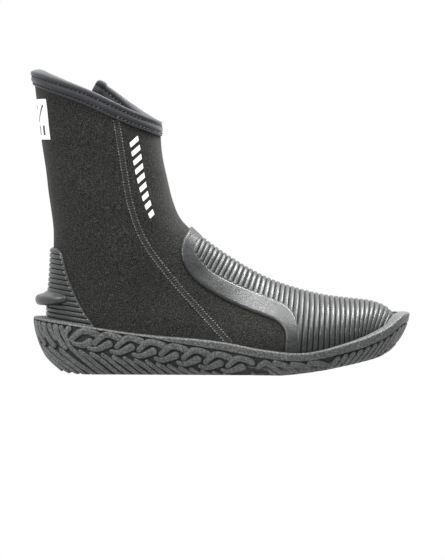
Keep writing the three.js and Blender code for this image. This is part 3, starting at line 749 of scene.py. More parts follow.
@dataclass(frozen=True)
class RubberFinish:
    """Moulded rubber: fine pebbling, a painted highlight on sharp edges and, where shaded, painted shade on
    low parts.
    """

    name: str
    colour: Colour
    roughness: float
    pebble: float = 0.7
    relief: float = 0.12
    # how much paler sharp edges are made: a painted highlight
    edge_highlight: float = 0.5
    speck: float = 1.3
    shaded: bool = False  # painted shade: darker where the mesh says that it lies low

    def material(self) -> Material:
        """Builds the finish."""
        made, graph, shader, at = surface(self.name)
        pebbles = graph.add(
            "ShaderNodeTexVoronoi", {"Vector": at, "Scale": 1000 / self.pebble, "Randomness": 1.0}
        ).outputs[0]
        cloud = noise(graph, at, 60, 4.0, 0.6)
        base = ramp(
            graph, cloud,
            [(0.3, scaled(self.colour, 0.82)), (0.5, self.colour), (0.72, scaled(self.colour, 1.2))],
        )
        fleck = noise(graph, at, 900, 2.0, 0.7)
        grain = ramp(graph, fleck, [(0.38, (0.5,) * 3), (0.5, (0.9,) * 3), (0.61, (self.speck,) * 3)])
        speckled = mixed(graph, 1.0, base, grain, "MULTIPLY")
        # painted shade: the colour is multiplied darker where the raised attribute is low
        if self.shaded:
            high = graph.add("ShaderNodeAttribute", attribute_name="raised").outputs["Fac"]
            shade = ramp(graph, high, [(0.0, (0.2,) * 3), (0.55, (0.5,) * 3), (0.95, (1.0,) * 3)])
            speckled = mixed(graph, 1.0, speckled, shade, "MULTIPLY")
        # painted highlight: the colour turns paler along sharp convex edges
        edge = graph.add("ShaderNodeNewGeometry").outputs["Pointiness"]
        edge_glint = graph.math("MULTIPLY", span(graph, edge, 0.5, 0.56, 0.0, 1.0), self.edge_highlight)
        pale = scaled(self.colour, 1.9)
        colour = mixed(graph, edge_glint, speckled, (*pale, 1))
        rough = span(graph, cloud, 0.3, 0.7, self.roughness - 0.07, self.roughness + 0.08)
        graph.feed(shader, {"Base Color": colour, "Roughness": rough, "Specular IOR Level": 0.5})
        bump(graph, shader, [(noise(graph, at, 260, 3.0), self.relief), (pebbles, self.relief * 0.6)])
        return made


@dataclass(frozen=True)
class WovenFinish:
    """Woven tape or thread: crossing yarns with a light sheen."""

    name: str
    colour: Colour
    yarn: float = 0.45
    sheen: float = 0.35
    roughness: float = 0.75

    def material(self) -> Material:
        """Builds the finish."""
        made, graph, shader, at = surface(self.name)
        turned = graph.add("ShaderNodeMapping", {"Vector": at, "Rotation": (0.5, 0.9, 0.3)}).outputs[0]
        waves = [
            graph.add(
                "ShaderNodeTexWave", {"Vector": turned, "Scale": 200 / self.yarn, "Distortion": 0.6},
                bands_direction=axis,
            ).outputs[1]
            for axis in ("X", "Z")
        ]
        yarns = graph.math("MAXIMUM", *waves)
        fibre = noise(graph, at, 1500, 2.0, 0.7)
        dark, light = scaled(self.colour, 0.6), scaled(self.colour, 1.35)
        base = ramp(graph, graph.math("MULTIPLY", yarns, span(graph, fibre, 0.3, 0.7, 0.6, 1.1)),
                    [(0.1, dark), (0.6, self.colour), (0.95, light)])
        slow = ramp(graph, noise(graph, at, 45, 2.0), [(0.3, (0.85,) * 3), (0.7, (1.15,) * 3)])
        colour = mixed(graph, 1.0, base, slow, "MULTIPLY")
        rough = span(graph, fibre, 0.3, 0.7, self.roughness + 0.1, self.roughness - 0.1)
        graph.feed(shader, {"Base Color": colour, "Roughness": rough, "Specular IOR Level": 0.35})
        graph.feed(shader, {"Sheen Weight": self.sheen, "Sheen Roughness": 0.4})
        bump(graph, shader, [(noise(graph, at, 180, 2.0), 0.12), (yarns, 0.08)])
        return made


@dataclass(frozen=True)
class HardFinish:
    """Moulded plastic, coated metal or print film, with fine scratches and slight shading."""

    name: str
    colour: Colour
    roughness: float
    metallic: float = 0.0
    grain: float = 0.02

    def material(self) -> Material:
        """Builds the finish."""
        made, graph, shader, at = surface(self.name)
        cloud = noise(graph, at, 220, 4.0, 0.65)
        base = ramp(graph, cloud, [(0.3, scaled(self.colour, 0.88)), (0.7, scaled(self.colour, 1.1))])
        rough = span(graph, cloud, 0.3, 0.7, self.roughness - 0.06, self.roughness + 0.1)
        graph.feed(shader, {"Base Color": base, "Roughness": rough, "Metallic": self.metallic})
        bump(graph, shader, [(noise(graph, at, 1100, 3.0), self.grain)])
        return made


class Finishes:
    """Every finish of the boot, built once."""

    def __init__(self) -> None:
        """Builds the materials."""
        self.neoprene = KnitFinish("neoprene_knit", (0.0095, 0.0095, 0.0086), 8.5, 0.62).material()
        self.lining = KnitFinish("lining_knit", (0.016, 0.016, 0.017), fleck=2.2).material()
        self.foam = KnitFinish("footbed_cloth", (0.03, 0.03, 0.032), fleck=2.0, loop=1.3).material()
        self.binding = WovenFinish("binding_tape", (0.026, 0.027, 0.031)).material()
        self.zip_tape = WovenFinish("zip_tape", (0.02, 0.02, 0.021), yarn=0.7, sheen=0.2).material()
        self.seam_thread = WovenFinish("seam_thread", (0.06, 0.06, 0.058), yarn=0.3).material()
        self.binding_thread = WovenFinish("binding_thread", (0.24, 0.24, 0.245), yarn=0.3).material()
        self.dark_thread = WovenFinish("dark_thread", (0.009, 0.009, 0.01), yarn=0.3, sheen=0.1).material()
        self.overlay = RubberFinish(
            "overlay_rubber", (0.031, 0.0325, 0.033), 0.33, pebble=0.55, edge_highlight=0.3
        ).material()
        self.outsole = RubberFinish(
            "outsole_rubber", (0.068, 0.071, 0.0695), 0.5, relief=0.22, edge_highlight=0.3, speck=2.2, shaded=True
        ).material()
        # a darker copy of the outsole rubber for its sunk faces: painted shade
        self.outsole_hollow_shade = RubberFinish("outsole_hollows", (0.02, 0.021, 0.0205), 0.7, edge_highlight=0.0).material()
        self.teeth = HardFinish("zip_teeth_plastic", (0.025, 0.025, 0.027), 0.38).material()
        self.slider = HardFinish("slider_plastic", (0.035, 0.036, 0.038), 0.34).material()
        self.board = HardFinish("insole_fibreboard", (0.14, 0.12, 0.09), 0.85, grain=0.08).material()
        self.print = HardFinish("white_print", (0.88, 0.88, 0.87), 0.5).material()
        self.ink = HardFinish("dark_print", (0.05, 0.05, 0.05), 0.6).material()


def dress(obj: Piece, finish: Material, slot: str, *nodes: str, body: str = "boot_body") -> Piece:
    """Gives a piece its finish, hides the frame nodes it stands for and attaches it to the body it moves
    with.

    Args:
        obj: the piece.
        finish: its material.
        slot: the record's material slot; not used.
        *nodes: frame nodes that it replaces.
        body: the moving body that it rides on.

    Returns:
        The piece.
    """
    obj.data.materials.clear()
    obj.data.materials.append(finish)
    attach(obj, body)
    if nodes:
        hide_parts(*nodes)
    log.info("%s: %d faces", obj.name, len(obj.data.polygons))
    return obj


# ---- small parts
def joined(parts: Sequence[Mesh]) -> Mesh:
    """Several meshes as one list of points and faces."""
    points, faces, start = [], [], 0
    for p, f in parts:
        points.append(p)
        faces += [tuple(i + start for i in face) for face in f]
        start += len(p)
    return np.vstack(points), faces


def rod(path: Array, radius: float, sides: int, flat: float, up: Sequence[float] = (0, 0, 1.0)) -> Mesh:
    """A closed rounded rod along a path, such as a stitch.

    Args:
        path: its middle line.
        radius: its half width.
        sides: corners of its section.
        flat: its height as a share of its width.
        up: the direction that the flattening follows.

    Returns:
        Its points and faces.
    """
    along = unit(np.gradient(path, axis=0))
    first, last = path[0] - along[0] * radius * 0.7, path[-1] + along[-1] * radius * 0.7
    path = np.vstack([first, path, last])
    along = np.vstack([along[:1], along, along[-1:]])
    size = np.full(len(path), radius)
    size[[0, -1]] *= 0.35
    across = unit(np.cross(np.broadcast_to(np.array(up), along.shape), along))
    over = unit(np.cross(along, across))
    turn = np.linspace(0, 2 * np.pi, sides, endpoint=False)
    ring = np.cos(turn)[None, :, None] * across[:, None] + flat * np.sin(turn)[None, :, None] * over[:, None]
    return swept(path[:, None] + ring * size[:, None, None])


def stitch_part(name: str, paths: Sequence[Array], radius: float) -> Piece:
    """A small part made of rounded rods, kept out of the picture until it is repeated."""
    points, faces = joined([rod(np.asarray(path, float), radius, 5, 0.8) for path in paths])
    return mesh_object(name, points, faces, 60)


def path_object(name: str, runs: Sequence[Path]) -> Piece:
    """Open paths on a surface as edges, each point with its outward direction."""
    points = np.vstack([r[0] for r in runs])
    edges, start = [], 0
    for r in runs:
        edges += [(start + i, start + i + 1) for i in range(len(r[0]) - 1)]
        start += len(r[0])
    mesh = bpy.data.meshes.new(name)
    mesh.from_pydata((points * MM).tolist(), edges, [])
    obj = placed(name, mesh)
    set_attribute(obj, "out", np.vstack([r[1] for r in runs]))
    return obj


def repeat_on_path(
    name: str,
    runs: Sequence[Path],
    part: Piece,
    pitch: float,
    finish: Material,
    seed: int,
    unevenness: float = 0.12,
) -> Piece:
    """Repeats a small part along paths and removes the part itself.

    Args:
        name: the new piece's name.
        runs: the paths.
        part: the small part, at the origin with its length on X and outwards on Z.
        pitch: the spacing in millimetres.
        finish: the material.
        seed: the seed of the slight unevenness.
        unevenness: how much smaller some copies are.

    Returns:
        The piece.
    """
    obj = path_object(name, runs)
    inputs = {"Part": part, "Pitch": pitch * MM, "Unevenness": unevenness, "Seed": seed, "Finish": finish}
    run_tree(obj, TREES.along_path, inputs)
    old = part.data
    bpy.data.objects.remove(part)
    bpy.data.meshes.remove(old)
    drop_attributes(obj, "out")
    return obj


# ---- the upper
def last_sheet(columns: int, rows: int, low: float = 0.01, high: float = 0.992) -> Skin:
    """A sheet over the whole last, open at both ends."""
    turns, vs = np.meshgrid(np.linspace(0, 2 * np.pi, columns, endpoint=False), np.linspace(low, high, rows))
    return Skin.grid(LAST.point(turns, vs), LAST.normal(turns, vs), closed=True)


def beside_zip(points: Array, half: float) -> Array:
    """How far rows lie outside the slot for the zip, which has this half width and clipped lower corners."""
    across, down = across_zip(points)
    corner = (np.abs(across) + down - ZIP_LENGTH - half + ZIP_FOOT) * DIAGONAL
    away = np.maximum(np.abs(across) - half, corner)
    away = np.maximum(away, down - ZIP_LENGTH + SLOT_END)
    return by_side(points, NO_SLOT, away)


def flat_side(line: Array, points: Array) -> Array:
    """How far (x, y, z) rows lie to the left of a side-view line."""
    return side_of(line, points[:, [0, 2]])


def unevenness(points: Array) -> Array:
    """The slow rise and fall of soft foam, faded out beneath the rubber."""
    x, y, z = points.T
    wave = np.sin(0.085 * x + 0.05 * z + 0.6) * np.sin(0.06 * z - 0.07 * y)
    wave = wave + 0.6 * np.sin(0.17 * z + 0.09 * y + 0.05 * x)
    bare = smoothstep(0, 14, -flat_side(TOE_EDGE, points)) * smoothstep(0, 14, flat_side(HEEL_EDGE, points))
    crease = np.exp(-(((z - 104 + 0.35 * (x + 25)) / 5.0) ** 2)) * smoothstep(-70, -25, x)
    return bare * (0.28 * wave - 0.5 * crease) * smoothstep(-4, 14, over_rim(points))


@dataclass(frozen=True)
class Upper:
    """The foam rubber sock: a front and a rear panel sewn on two seams, and the piece beneath the foot."""

    thickness: float = NEOPRENE
    hem: float = 2.0
    seam_dip: float = 1.0
    columns: int = 176
    rows: int = 250
    gusset: float = 3.0
    gusset_half: float = 23.0
    gusset_tuck: float = 8.3  # how far below the neoprene's edge the gusset starts, under the binding
    gusset_rise: float = 5.0  # how much higher it reaches between the binding's ends
    ends_middle: float = -3.5  # where the middle between those ends lies, across the zip
    board: float = 1.5
    liner: float = 4.0

    def _wall(self, name: str, sign: int) -> Piece:
        """One of the two wall panels: sign is 1 in front of the seams and -1 behind them."""
        sheet = last_sheet(self.columns, self.rows)
        sheet.keep(lambda p: sign * before_seam(p) - 0.08)
        sheet.keep(lambda p: under_collar(p) - self.hem)
        sheet.keep(lambda p: beside_zip(p, ZIP_SLOT))
        sheet.keep(lambda p: over_base(p, self.thickness + 0.5))
        sheet.score(lambda p: sign * before_seam(p), (0.5, 1.0, 1.6, 2.4))
        from_seam = sign * before_seam(sheet.pos)
        dip = self.seam_dip * (1 - smoothstep(-0.2, 2.4, from_seam)) ** 1.3
        return mesh_object(name, *sheet.shell(unevenness(sheet.pos) - dip, -self.thickness), 50)

    def _underfoot(self, name: str, rise: float, outer: float, inner: float) -> Piece:
        """A layer beneath the foot, as far up its sides as a rise over the last's underside."""
        sheet = last_sheet(self.columns, 150, 0.4)
        sheet.keep(lambda p: rise - over_base(p, 0))
        return mesh_object(name, *sheet.shell(outer, inner), 50)

    def _under_binding(self, points: Array) -> Array:
        """How far rows lie below the gusset's top."""
        across = across_zip(points)[0]
        front, back = (-flat_side(line[::-1], points) for line in (COLLAR_INNER_FRONT, COLLAR_INNER_BACK))
        share = smoothstep(-1, 3, across)
        rise = self.gusset_rise * (1 - smoothstep(2.0, 4.4, np.abs(across - self.ends_middle)))
        return (1 - share) * back + share * front - self.gusset_tuck + rise

    def _gusset(self) -> Piece:
        """The flap behind the zip."""
        turns, vs = np.meshgrid(np.linspace(0.3, 2.8, 90), np.linspace(0.01, 0.62, 150))
        sheet = Skin.grid(LAST.point(turns, vs), LAST.normal(turns, vs))
        sheet.keep(lambda p: self.gusset_half - np.abs(across_zip(p)[0]))
        sheet.keep(lambda p: ZIP_LENGTH - across_zip(p)[1])
        sheet.keep(self._under_binding)
        inside = -self.thickness - GAP
        return mesh_object("gusset", *sheet.shell(inside, inside - self.gusset), 50)

    def build(self, finishes: Finishes) -> None:
        """Builds and dresses the sock's pieces."""
        dress(self._wall("front_wall", 1), finishes.neoprene, "neoprene", "front_panel")
        dress(self._wall("rear_wall", -1), finishes.neoprene, "neoprene", "rear_panel")
        bottom = self._underfoot("sock_bottom", self.thickness + 0.4, 0, -self.thickness)
        dress(bottom, finishes.neoprene, "neoprene", "bottom_panel")
        board = self._underfoot("stiffening_board", 0.1, GAP + self.board, GAP)
        dress(board, finishes.board, "board", "insole_board")
        inside = self.thickness + GAP
        liner = self._underfoot("footbed", inside + self.liner, -inside, -inside - self.liner)
        dress(liner, finishes.foam, "footbed_foam", "footbed_liner")
        dress(self._gusset(), finishes.lining, "neoprene", "zip_gusset")


# ---- the collar
@dataclass(frozen=True)
class CollarBinding:
    """Elastic tape folded over the collar's edge, puffed up between its two rows of stitches."""

    rows: tuple[float, float] = (2.1, 7.1)
    front_end: float = 1.5  # where the tape ends, across the zip
    rear_end: float = -8.5
    pitch: float = 3.0
    stitch: float = 1.9
    thread: float = 0.6
    clear_ends: float = 3.0  # how much of the tape has no stitches at each end
    faces_at: tuple[float, float] = (1.12, -6.12)  # how far out the stitches lie on the tape's two faces
    # the folded tape's section: down from the neoprene's edge, and outwards from its surface
    outside: tuple[tuple[float, float], ...] = (
        (8.8, 0.35), (9.05, 0.8), (8.7, 1.35), (8.0, 1.5), (7.45, 1.2), (7.1, 1.0), (6.7, 1.25), (5.9, 1.8),
        (4.6, 2.1), (3.3, 1.85), (2.5, 1.3), (2.1, 1.05), (1.7, 1.3), (0.9, 1.85), (-0.2, 1.9), (-1.1, 1.3),
        (-1.55, 0.1), (-1.7, -1.6), (-1.7, -3.4), (-1.55, -5.1), (-1.0, -6.4), (-0.1, -6.9),
    )
    inside: tuple[tuple[float, float], ...] = (
        (0.9, -6.85), (1.7, -6.3), (2.1, -6.05), (2.5, -6.3), (3.3, -6.85), (4.6, -7.1), (5.9, -6.8),
        (6.7, -6.25), (7.1, -6.0), (7.45, -6.2), (8.0, -6.5), (8.7, -6.35), (9.05, -5.8), (8.8, -5.3),
        (0.7, -5.2), (0.7, 0.2),
    )

    def _edge(self) -> Path:
        """The collar's edge from the zip round the front and the back to the zip again."""
        turns = np.linspace(math.radians(90), math.radians(-270), 1500)
        v = LAST.solve(turns, under_collar, 0.0, 0.4)
        points, normals = LAST.point(turns, v), LAST.normal(turns, v)
        across = across_zip(points)[0]
        first = int(np.argmax(across > self.front_end))
        last = len(across) - int(np.argmax((across < self.rear_end)[::-1]))
        return evenly(points[first:last], normals[first:last], 1.6)

    def _at(self, edge: Path, down: float, out: float) -> Path:
        """A line beside the edge: its points and outward directions."""
        points, normals = edge
        along = unit(np.gradient(points, axis=0))
        below = unit(np.cross(along, normals))
        below *= np.sign(-below[:, 2:3])
        facing = normals if out > -3 else -normals
        return points + below * down + normals * out, facing

    def build(self, finishes: Finishes) -> None:
        """Builds the tape and its stitches."""
        edge = self._edge()
        run = run_along(edge[0])
        from_end = np.minimum(run, run[-1] - run)
        section = np.array(self.outside + self.inside)
        rings = np.stack([self._at(edge, d, n)[0] for d, n in section], axis=1)
        # the front end is turned in once more, so the tape is thicker there
        middle = (self._at(edge, 3.5, -2.5)[0])[:, None]
        fat = 1 + 0.26 * (1 - smoothstep(6.0, 8.0, run)) - 0.35 * (1 - smoothstep(0, 2.2, from_end))
        ripple = 0.1 * np.sin(run * 2.2)[:, None, None] * edge[1][:, None]
        rings = middle + (rings - middle) * fat[:, None, None]
        rings[:, 2:12] += ripple  # the puffs between the stitches, on the outside
        tape = mesh_object("collar_tape", *swept(rings), 50)
        dress(tape, finishes.binding, "binding_tape", "collar_binding")
        half = self.stitch / 2
        names = ("binding_stitch_upper", "binding_stitch_lower")
        keep = from_end > self.clear_ends
        for index, (down, node) in enumerate(zip(self.rows, names)):
            runs = []
            for out in self.faces_at:
                points, facing = self._at(edge, down, out)
                runs.append((points[keep], facing[keep]))
            part = stitch_part("collar_stitch", [[(-half, 0, 0), (0, 0, 0.22), (half, 0, 0)]], self.thread)
            name = f"collar_stitches_{index + 1}"
            row = repeat_on_path(name, runs, part, self.pitch, finishes.dark_thread, 3 + index)
            dress(row, finishes.dark_thread, "thread", node)
            # the pale knots lie between the stitches, so their paths start half a pitch later
            skip = int(self.pitch / 2 / 0.4)
            fine = [evenly(points, facing, 0.4) for points, facing in runs]
            knots = [(points[skip:], facing[skip:]) for points, facing in fine]
            knot = stitch_part("collar_knot", [[(-0.2, 0.1, 0.15), (0.2, -0.1, 0.15)]], self.thread * 0.8)
            name = f"collar_knots_{index + 1}"
            row = repeat_on_path(name, knots, knot, self.pitch, finishes.binding_thread, 5 + index)
            dress(row, finishes.binding_thread, "thread", node)


@dataclass(frozen=True)
class FlatSeams:
    """The covered seams between the panels: slanted threads that cross a narrow band, and two edge rows."""

    half_width: float = 1.95
    pitch: float = 1.7
    thread: float = 0.22
    lift: float = 0.02

    def _path(self, side: int, low: float, high: float) -> Path:
        """A seam's path on one side of the last, between two sections."""
        v = np.linspace(low, high, 400)
        near, far = np.full(len(v), 0.15), np.full(len(v), np.pi - 0.15)
        for _ in range(24):
            middle = (near + far) / 2
            front = before_seam(LAST.point(middle * side, v)) > 0
            near, far = np.where(front, middle, near), np.where(front, far, middle)
        return evenly(LAST.point(near * side, v), LAST.normal(near * side, v), 0.8)

    def _seam(self, name: str, path: Path, finishes: Finishes, node: str) -> None:
        """Lays the threads of one seam."""
        points, normals = path
        keep = (under_collar(points) > BINDING_DEPTH - FOLD) & (over_rim(points) > 0)
        points, normals = points[keep], normals[keep]
        w = self.half_width
        crossing = [(-0.5, -w, 0.0), (-0.2, -w * 0.4, -0.2), (0.2, w * 0.4, -0.2), (0.5, w, 0.0)]
        back = [(0.35, -w * 0.9, -0.1), (0.5, -w * 0.3, -0.35), (0.8, w * 0.4, -0.35), (1.15, w * 0.9, -0.1)]
        edges = [[(-0.6, s * w, 0.12), (0.45, s * w, 0.12)] for s in (-1, 1)]
        part = stitch_part("seam_stitch", [crossing, back, *edges], self.thread)
        runs = [(points + normals * self.lift, normals)]
        seam = repeat_on_path(name, runs, part, self.pitch, finishes.seam_thread, 11, 0.15)
        dress(seam, finishes.seam_thread, "thread", node)
        sideways = path_frames(points, normals)[1]
        edge_runs = [(points + sideways * side * w + normals * 0.2, normals) for side in (-1, 1)]
        loop_path = [(-0.4, -0.25, 0), (0.1, 0.15, 0.12), (0.45, 0.3, 0)]
        loop = stitch_part("seam_loop", [loop_path], self.thread * 1.25)
        pitch = self.pitch * 1.25
        loops = repeat_on_path(name + "_loops", edge_runs, loop, pitch, finishes.binding_thread, 13, 0.45)
        dress(loops, finishes.binding_thread, "thread", node)

    def build(self, finishes: Finishes) -> None:
        """Builds both seams."""
        outer = self._path(OUTER, 0.03, 0.72)
        inner = self._path(INNER, 0.38, 0.66)
        inner_keep = across_zip(inner[0])[1] > ZIP_LENGTH + 0.6
        inner = (inner[0][inner_keep], inner[1][inner_keep])
        self._seam("outer_seam", outer, finishes, "seam_thread_outer")
        self._seam("inner_seam", inner, finishes, "seam_thread_inner")


# ---- the rubber overlays
RIB_EDGE = smooth_line(
    [
        (-9, 101), (-13.5, 96), (-18.9, 89.3), (-19.3, 84.8), (-14, 76.8), (-5, 68.7), (8.3, 61.6),
        (21.7, 55.8), (35.1, 50.5), (44, 46.5), (49.4, 41.1), (52.1, 34), (52.5, 23.2), (52.3, 8),
    ],
    120,
)
TUCK = 4.0  # how far the overlays reach down behind the outsole's rim


def relief_attributes(obj: Piece, normals: Array, phase: Array, mask: Array) -> None:
    """Stores what the ribs and grooves tree reads, with nothing cut on the shell's inner half."""
    set_attribute(obj, "out", np.vstack([normals, normals]))
    set_attribute(obj, "phase", np.concatenate([phase, phase]))
    set_attribute(obj, "mask", np.concatenate([mask, 0 * mask]))


def rib_phases(length: float, pitch: float, shares: Sequence[float]) -> Array:
    """How many ribs on each row of a sheet lies, with the same few rows in every rib."""
    return np.array([k + share for k in range(int(length / pitch)) for share in shares])


def rib_sheet(turns: Array, phases: Array, tests: Sequence, ends: tuple[float, float]) -> Skin:
    """A sheet whose rows run along ribs: each lies where its test passes zero, between two sections."""
    vs = [LAST.solve(turns, test, *ends) for test in tests]
    pos = np.array([LAST.point(turns, v) for v in vs])
    nrm = np.array([LAST.normal(turns, v) for v in vs])
    return Skin.grid(pos, nrm, extra=np.repeat(phases[:, None], len(turns), axis=1))


def cut_grooves(obj: Piece, depth: float, crown: float, share: float, finish: Material) -> None:
    """Cuts the grooves between the ribs and smooths the result."""
    inputs = {"Depth": depth * MM, "Crown": crown * MM, "Groove Share": share, "Finish": finish}
    run_tree(obj, TREES.grooves, inputs)
    drop_attributes(obj, "out", "phase", "mask")
    obj.data.shade_smooth()
    obj.data.set_sharp_from_angle(angle=math.radians(60))


@dataclass(frozen=True)
class ToeOverlay:
    """The rubber over the forefoot: a pebbled band round its border and ribs over the rest."""

    thickness: float = 1.8
    pitch: float = 3.55
    groove: float = 0.85
    crown: float = 0.35
    share: float = 0.2
    phases: tuple[float, ...] = (0.0, 0.07, 0.15, 0.24, 0.4, 0.6, 0.76, 0.85, 0.93)
    columns: int = 150
    # how far the ribs lean, by where they cross the ridge: x and the tangent
    lean: tuple[tuple[float, float], ...] = (
        (-30, 0.42), (-13.5, 0.42), (-5, 0.5), (8, 0.5), (22, 0.35), (40, 0.18), (60, 0.08), (80, 0.04),
        (95, 0.1), (105, 0.28), (113, 0.45), (120, 0.6),
    )

    def _sheet(self) -> Skin:
        """The sheet whose rows run along the ribs."""
        v_line = np.linspace(0.25, 0.99, 1500)
        ridge = LAST.point(np.zeros_like(v_line), v_line)
        ridge = ridge[int(np.argmax(ridge[:, 0] > -24)) :]
        run = run_along(ridge)
        phases = rib_phases(run[-1], self.pitch, self.phases)
        across = np.linspace(-1, 1, self.columns)
        turns = np.sign(across) * (np.abs(across) ** 0.9) * 2.45
        tests = []
        for spot in read_rows(phases * self.pitch, run, ridge[:, [0, 2]]):
            angle = math.atan(read_off(self.lean, spot[0]))
            way = np.array([math.cos(angle), -math.sin(angle)])
            tests.append(lambda p, spot=spot, way=way: (p[..., [0, 2]] - spot) @ way)
        return rib_sheet(turns, phases, tests, (0.12, 0.992))

    def build(self, finishes: Finishes) -> None:
        """Builds the overlay."""
        sheet = self._sheet()
        sheet.keep(lambda p: flat_side(TOE_EDGE, p))
        sheet.keep(lambda p: over_rim(p) + TUCK)
        sheet.score(lambda p: flat_side(TOE_EDGE, p), (0.5, 1.2))
        sheet.score(lambda p: flat_side(RIB_EDGE, p), (-0.35, 0.0, 0.4, 0.9))
        border = flat_side(TOE_EDGE, sheet.pos)
        ribbed = flat_side(RIB_EDGE, sheet.pos)
        edge = 1.0 * (1 - smoothstep(-0.3, 1.2, border)) ** 1.5
        line = 0.5 * np.exp(-((ribbed - 0.1) / 0.3) ** 2)
        outer = GAP + self.thickness + 0.12 - edge - line - 0.12 * smoothstep(0, 0.5, ribbed)
        obj = mesh_object("toe_cover", *sheet.shell(outer, GAP), 60)
        relief_attributes(obj, sheet.nrm, sheet.extra, smoothstep(0.3, 1.0, ribbed))
        cut_grooves(obj, self.groove, self.crown, self.share, finishes.overlay)
        dress(obj, finishes.overlay, "overlay_rubber", "toe_overlay")


@dataclass(frozen=True)
class HeelCap:
    """The rubber at the back of the heel, with level ribs and a kick-off ledge."""

    thickness: float = 2.2
    pitch: float = 3.4
    groove: float = 0.95
    crown: float = 0.3
    share: float = 0.17
    slope: float = 8.0
    phases: tuple[float, ...] = (0.0, 0.07, 0.15, 0.25, 0.5, 0.75, 0.85, 0.93)
    columns: int = 110
    top: float = 80.0
    low: float = 8.0
    ledge_reach: float = 8.6
    ledge_top: float = 57.0
    ledge_low: float = 46.5
    ledge_turn: float = 0.8

    def _sheet(self) -> Skin:
        """The sheet whose rows run along the ribs."""
        turns = np.linspace(np.pi - 1.75, np.pi + 1.75, self.columns)
        tilt = math.radians(self.slope)
        level = lambda p: p[..., 0] * math.sin(tilt) + p[..., 2] * math.cos(tilt)
        phases = rib_phases(self.top - self.low, self.pitch, self.phases)
        tests = [lambda p, at=at: at - level(p) for at in self.top - phases * self.pitch]
        return rib_sheet(turns, phases, tests, (0.1, 0.72))

    def _ledge(self) -> Mesh:
        """The crescent shelf that another foot can tread on."""
        turns = np.linspace(np.pi - self.ledge_turn, np.pi + self.ledge_turn, 61)
        share = (turns - np.pi) / self.ledge_turn
        size = np.sqrt(np.clip(1 - share**2, 0, 1))
        mid = (self.ledge_top + self.ledge_low) / 2
        v = LAST.solve(turns, lambda p: mid - p[..., 2], 0.1, 0.72)
        foot, out = LAST.point(turns, v), LAST.normal(turns, v)
        out[:, 2] = 0
        out = unit(out)
        # outwards from the cap and up from the ledge's middle: a blunt nose, a flat top and a hollow beneath
        section = np.array(
            [
                (-1.5, 4.8), (0.9, 4.4), (2.4, 3.4), (4.2, 2.8), (6.3, 2.4), (7.9, 1.9), (9.0, 0.9),
                (9.4, -0.6), (9.0, -2.0), (7.9, -3.0), (6.3, -3.4), (4.4, -3.2), (3.0, -3.3), (1.6, -3.8),
                (-1.5, -4.4),
            ]
        )
        drawn_reach = section[:, 0].max()
        reach = section[:, 0] * self.ledge_reach / drawn_reach * size[:, None]
        reach = reach - 1.6 * (1 - size[:, None]) ** 2
        rings = foot[:, None] + out[:, None] * (GAP + 1.7 + reach)[..., None]
        high = np.where(section[:, 1] > 0, 1.15, 1.4) * section[:, 1]
        rings[..., 2] += high * (0.12 + 0.88 * size[:, None] ** 0.8) + 1.2 * (1 - size[:, None])
        return swept(rings[1:-1])

    def build(self, finishes: Finishes) -> None:
        """Builds the cap and its ledge."""
        sheet = self._sheet()
        sheet.keep(lambda p: -flat_side(HEEL_EDGE, p))
        sheet.keep(lambda p: over_rim(p) + TUCK)
        sheet.score(lambda p: -flat_side(HEEL_EDGE, p), (0.5, 1.1, 1.8))
        border = -flat_side(HEEL_EDGE, sheet.pos)
        edge = 1.3 * (1 - smoothstep(-0.3, 1.6, border)) ** 1.5
        obj = mesh_object("heel_counter", *sheet.shell(GAP + self.thickness + 0.1 - edge, GAP), 60)
        relief_attributes(obj, sheet.nrm, sheet.extra, smoothstep(0.3, 1.3, border))
        cut_grooves(obj, self.groove, self.crown, self.share, finishes.overlay)
        ledge = mesh_object("kick_ledge", *self._ledge(), 50)
        dress(obj, finishes.overlay, "overlay_rubber", "heel_cap")
        dress(ledge, finishes.overlay, "overlay_rubber", "heel_cap")


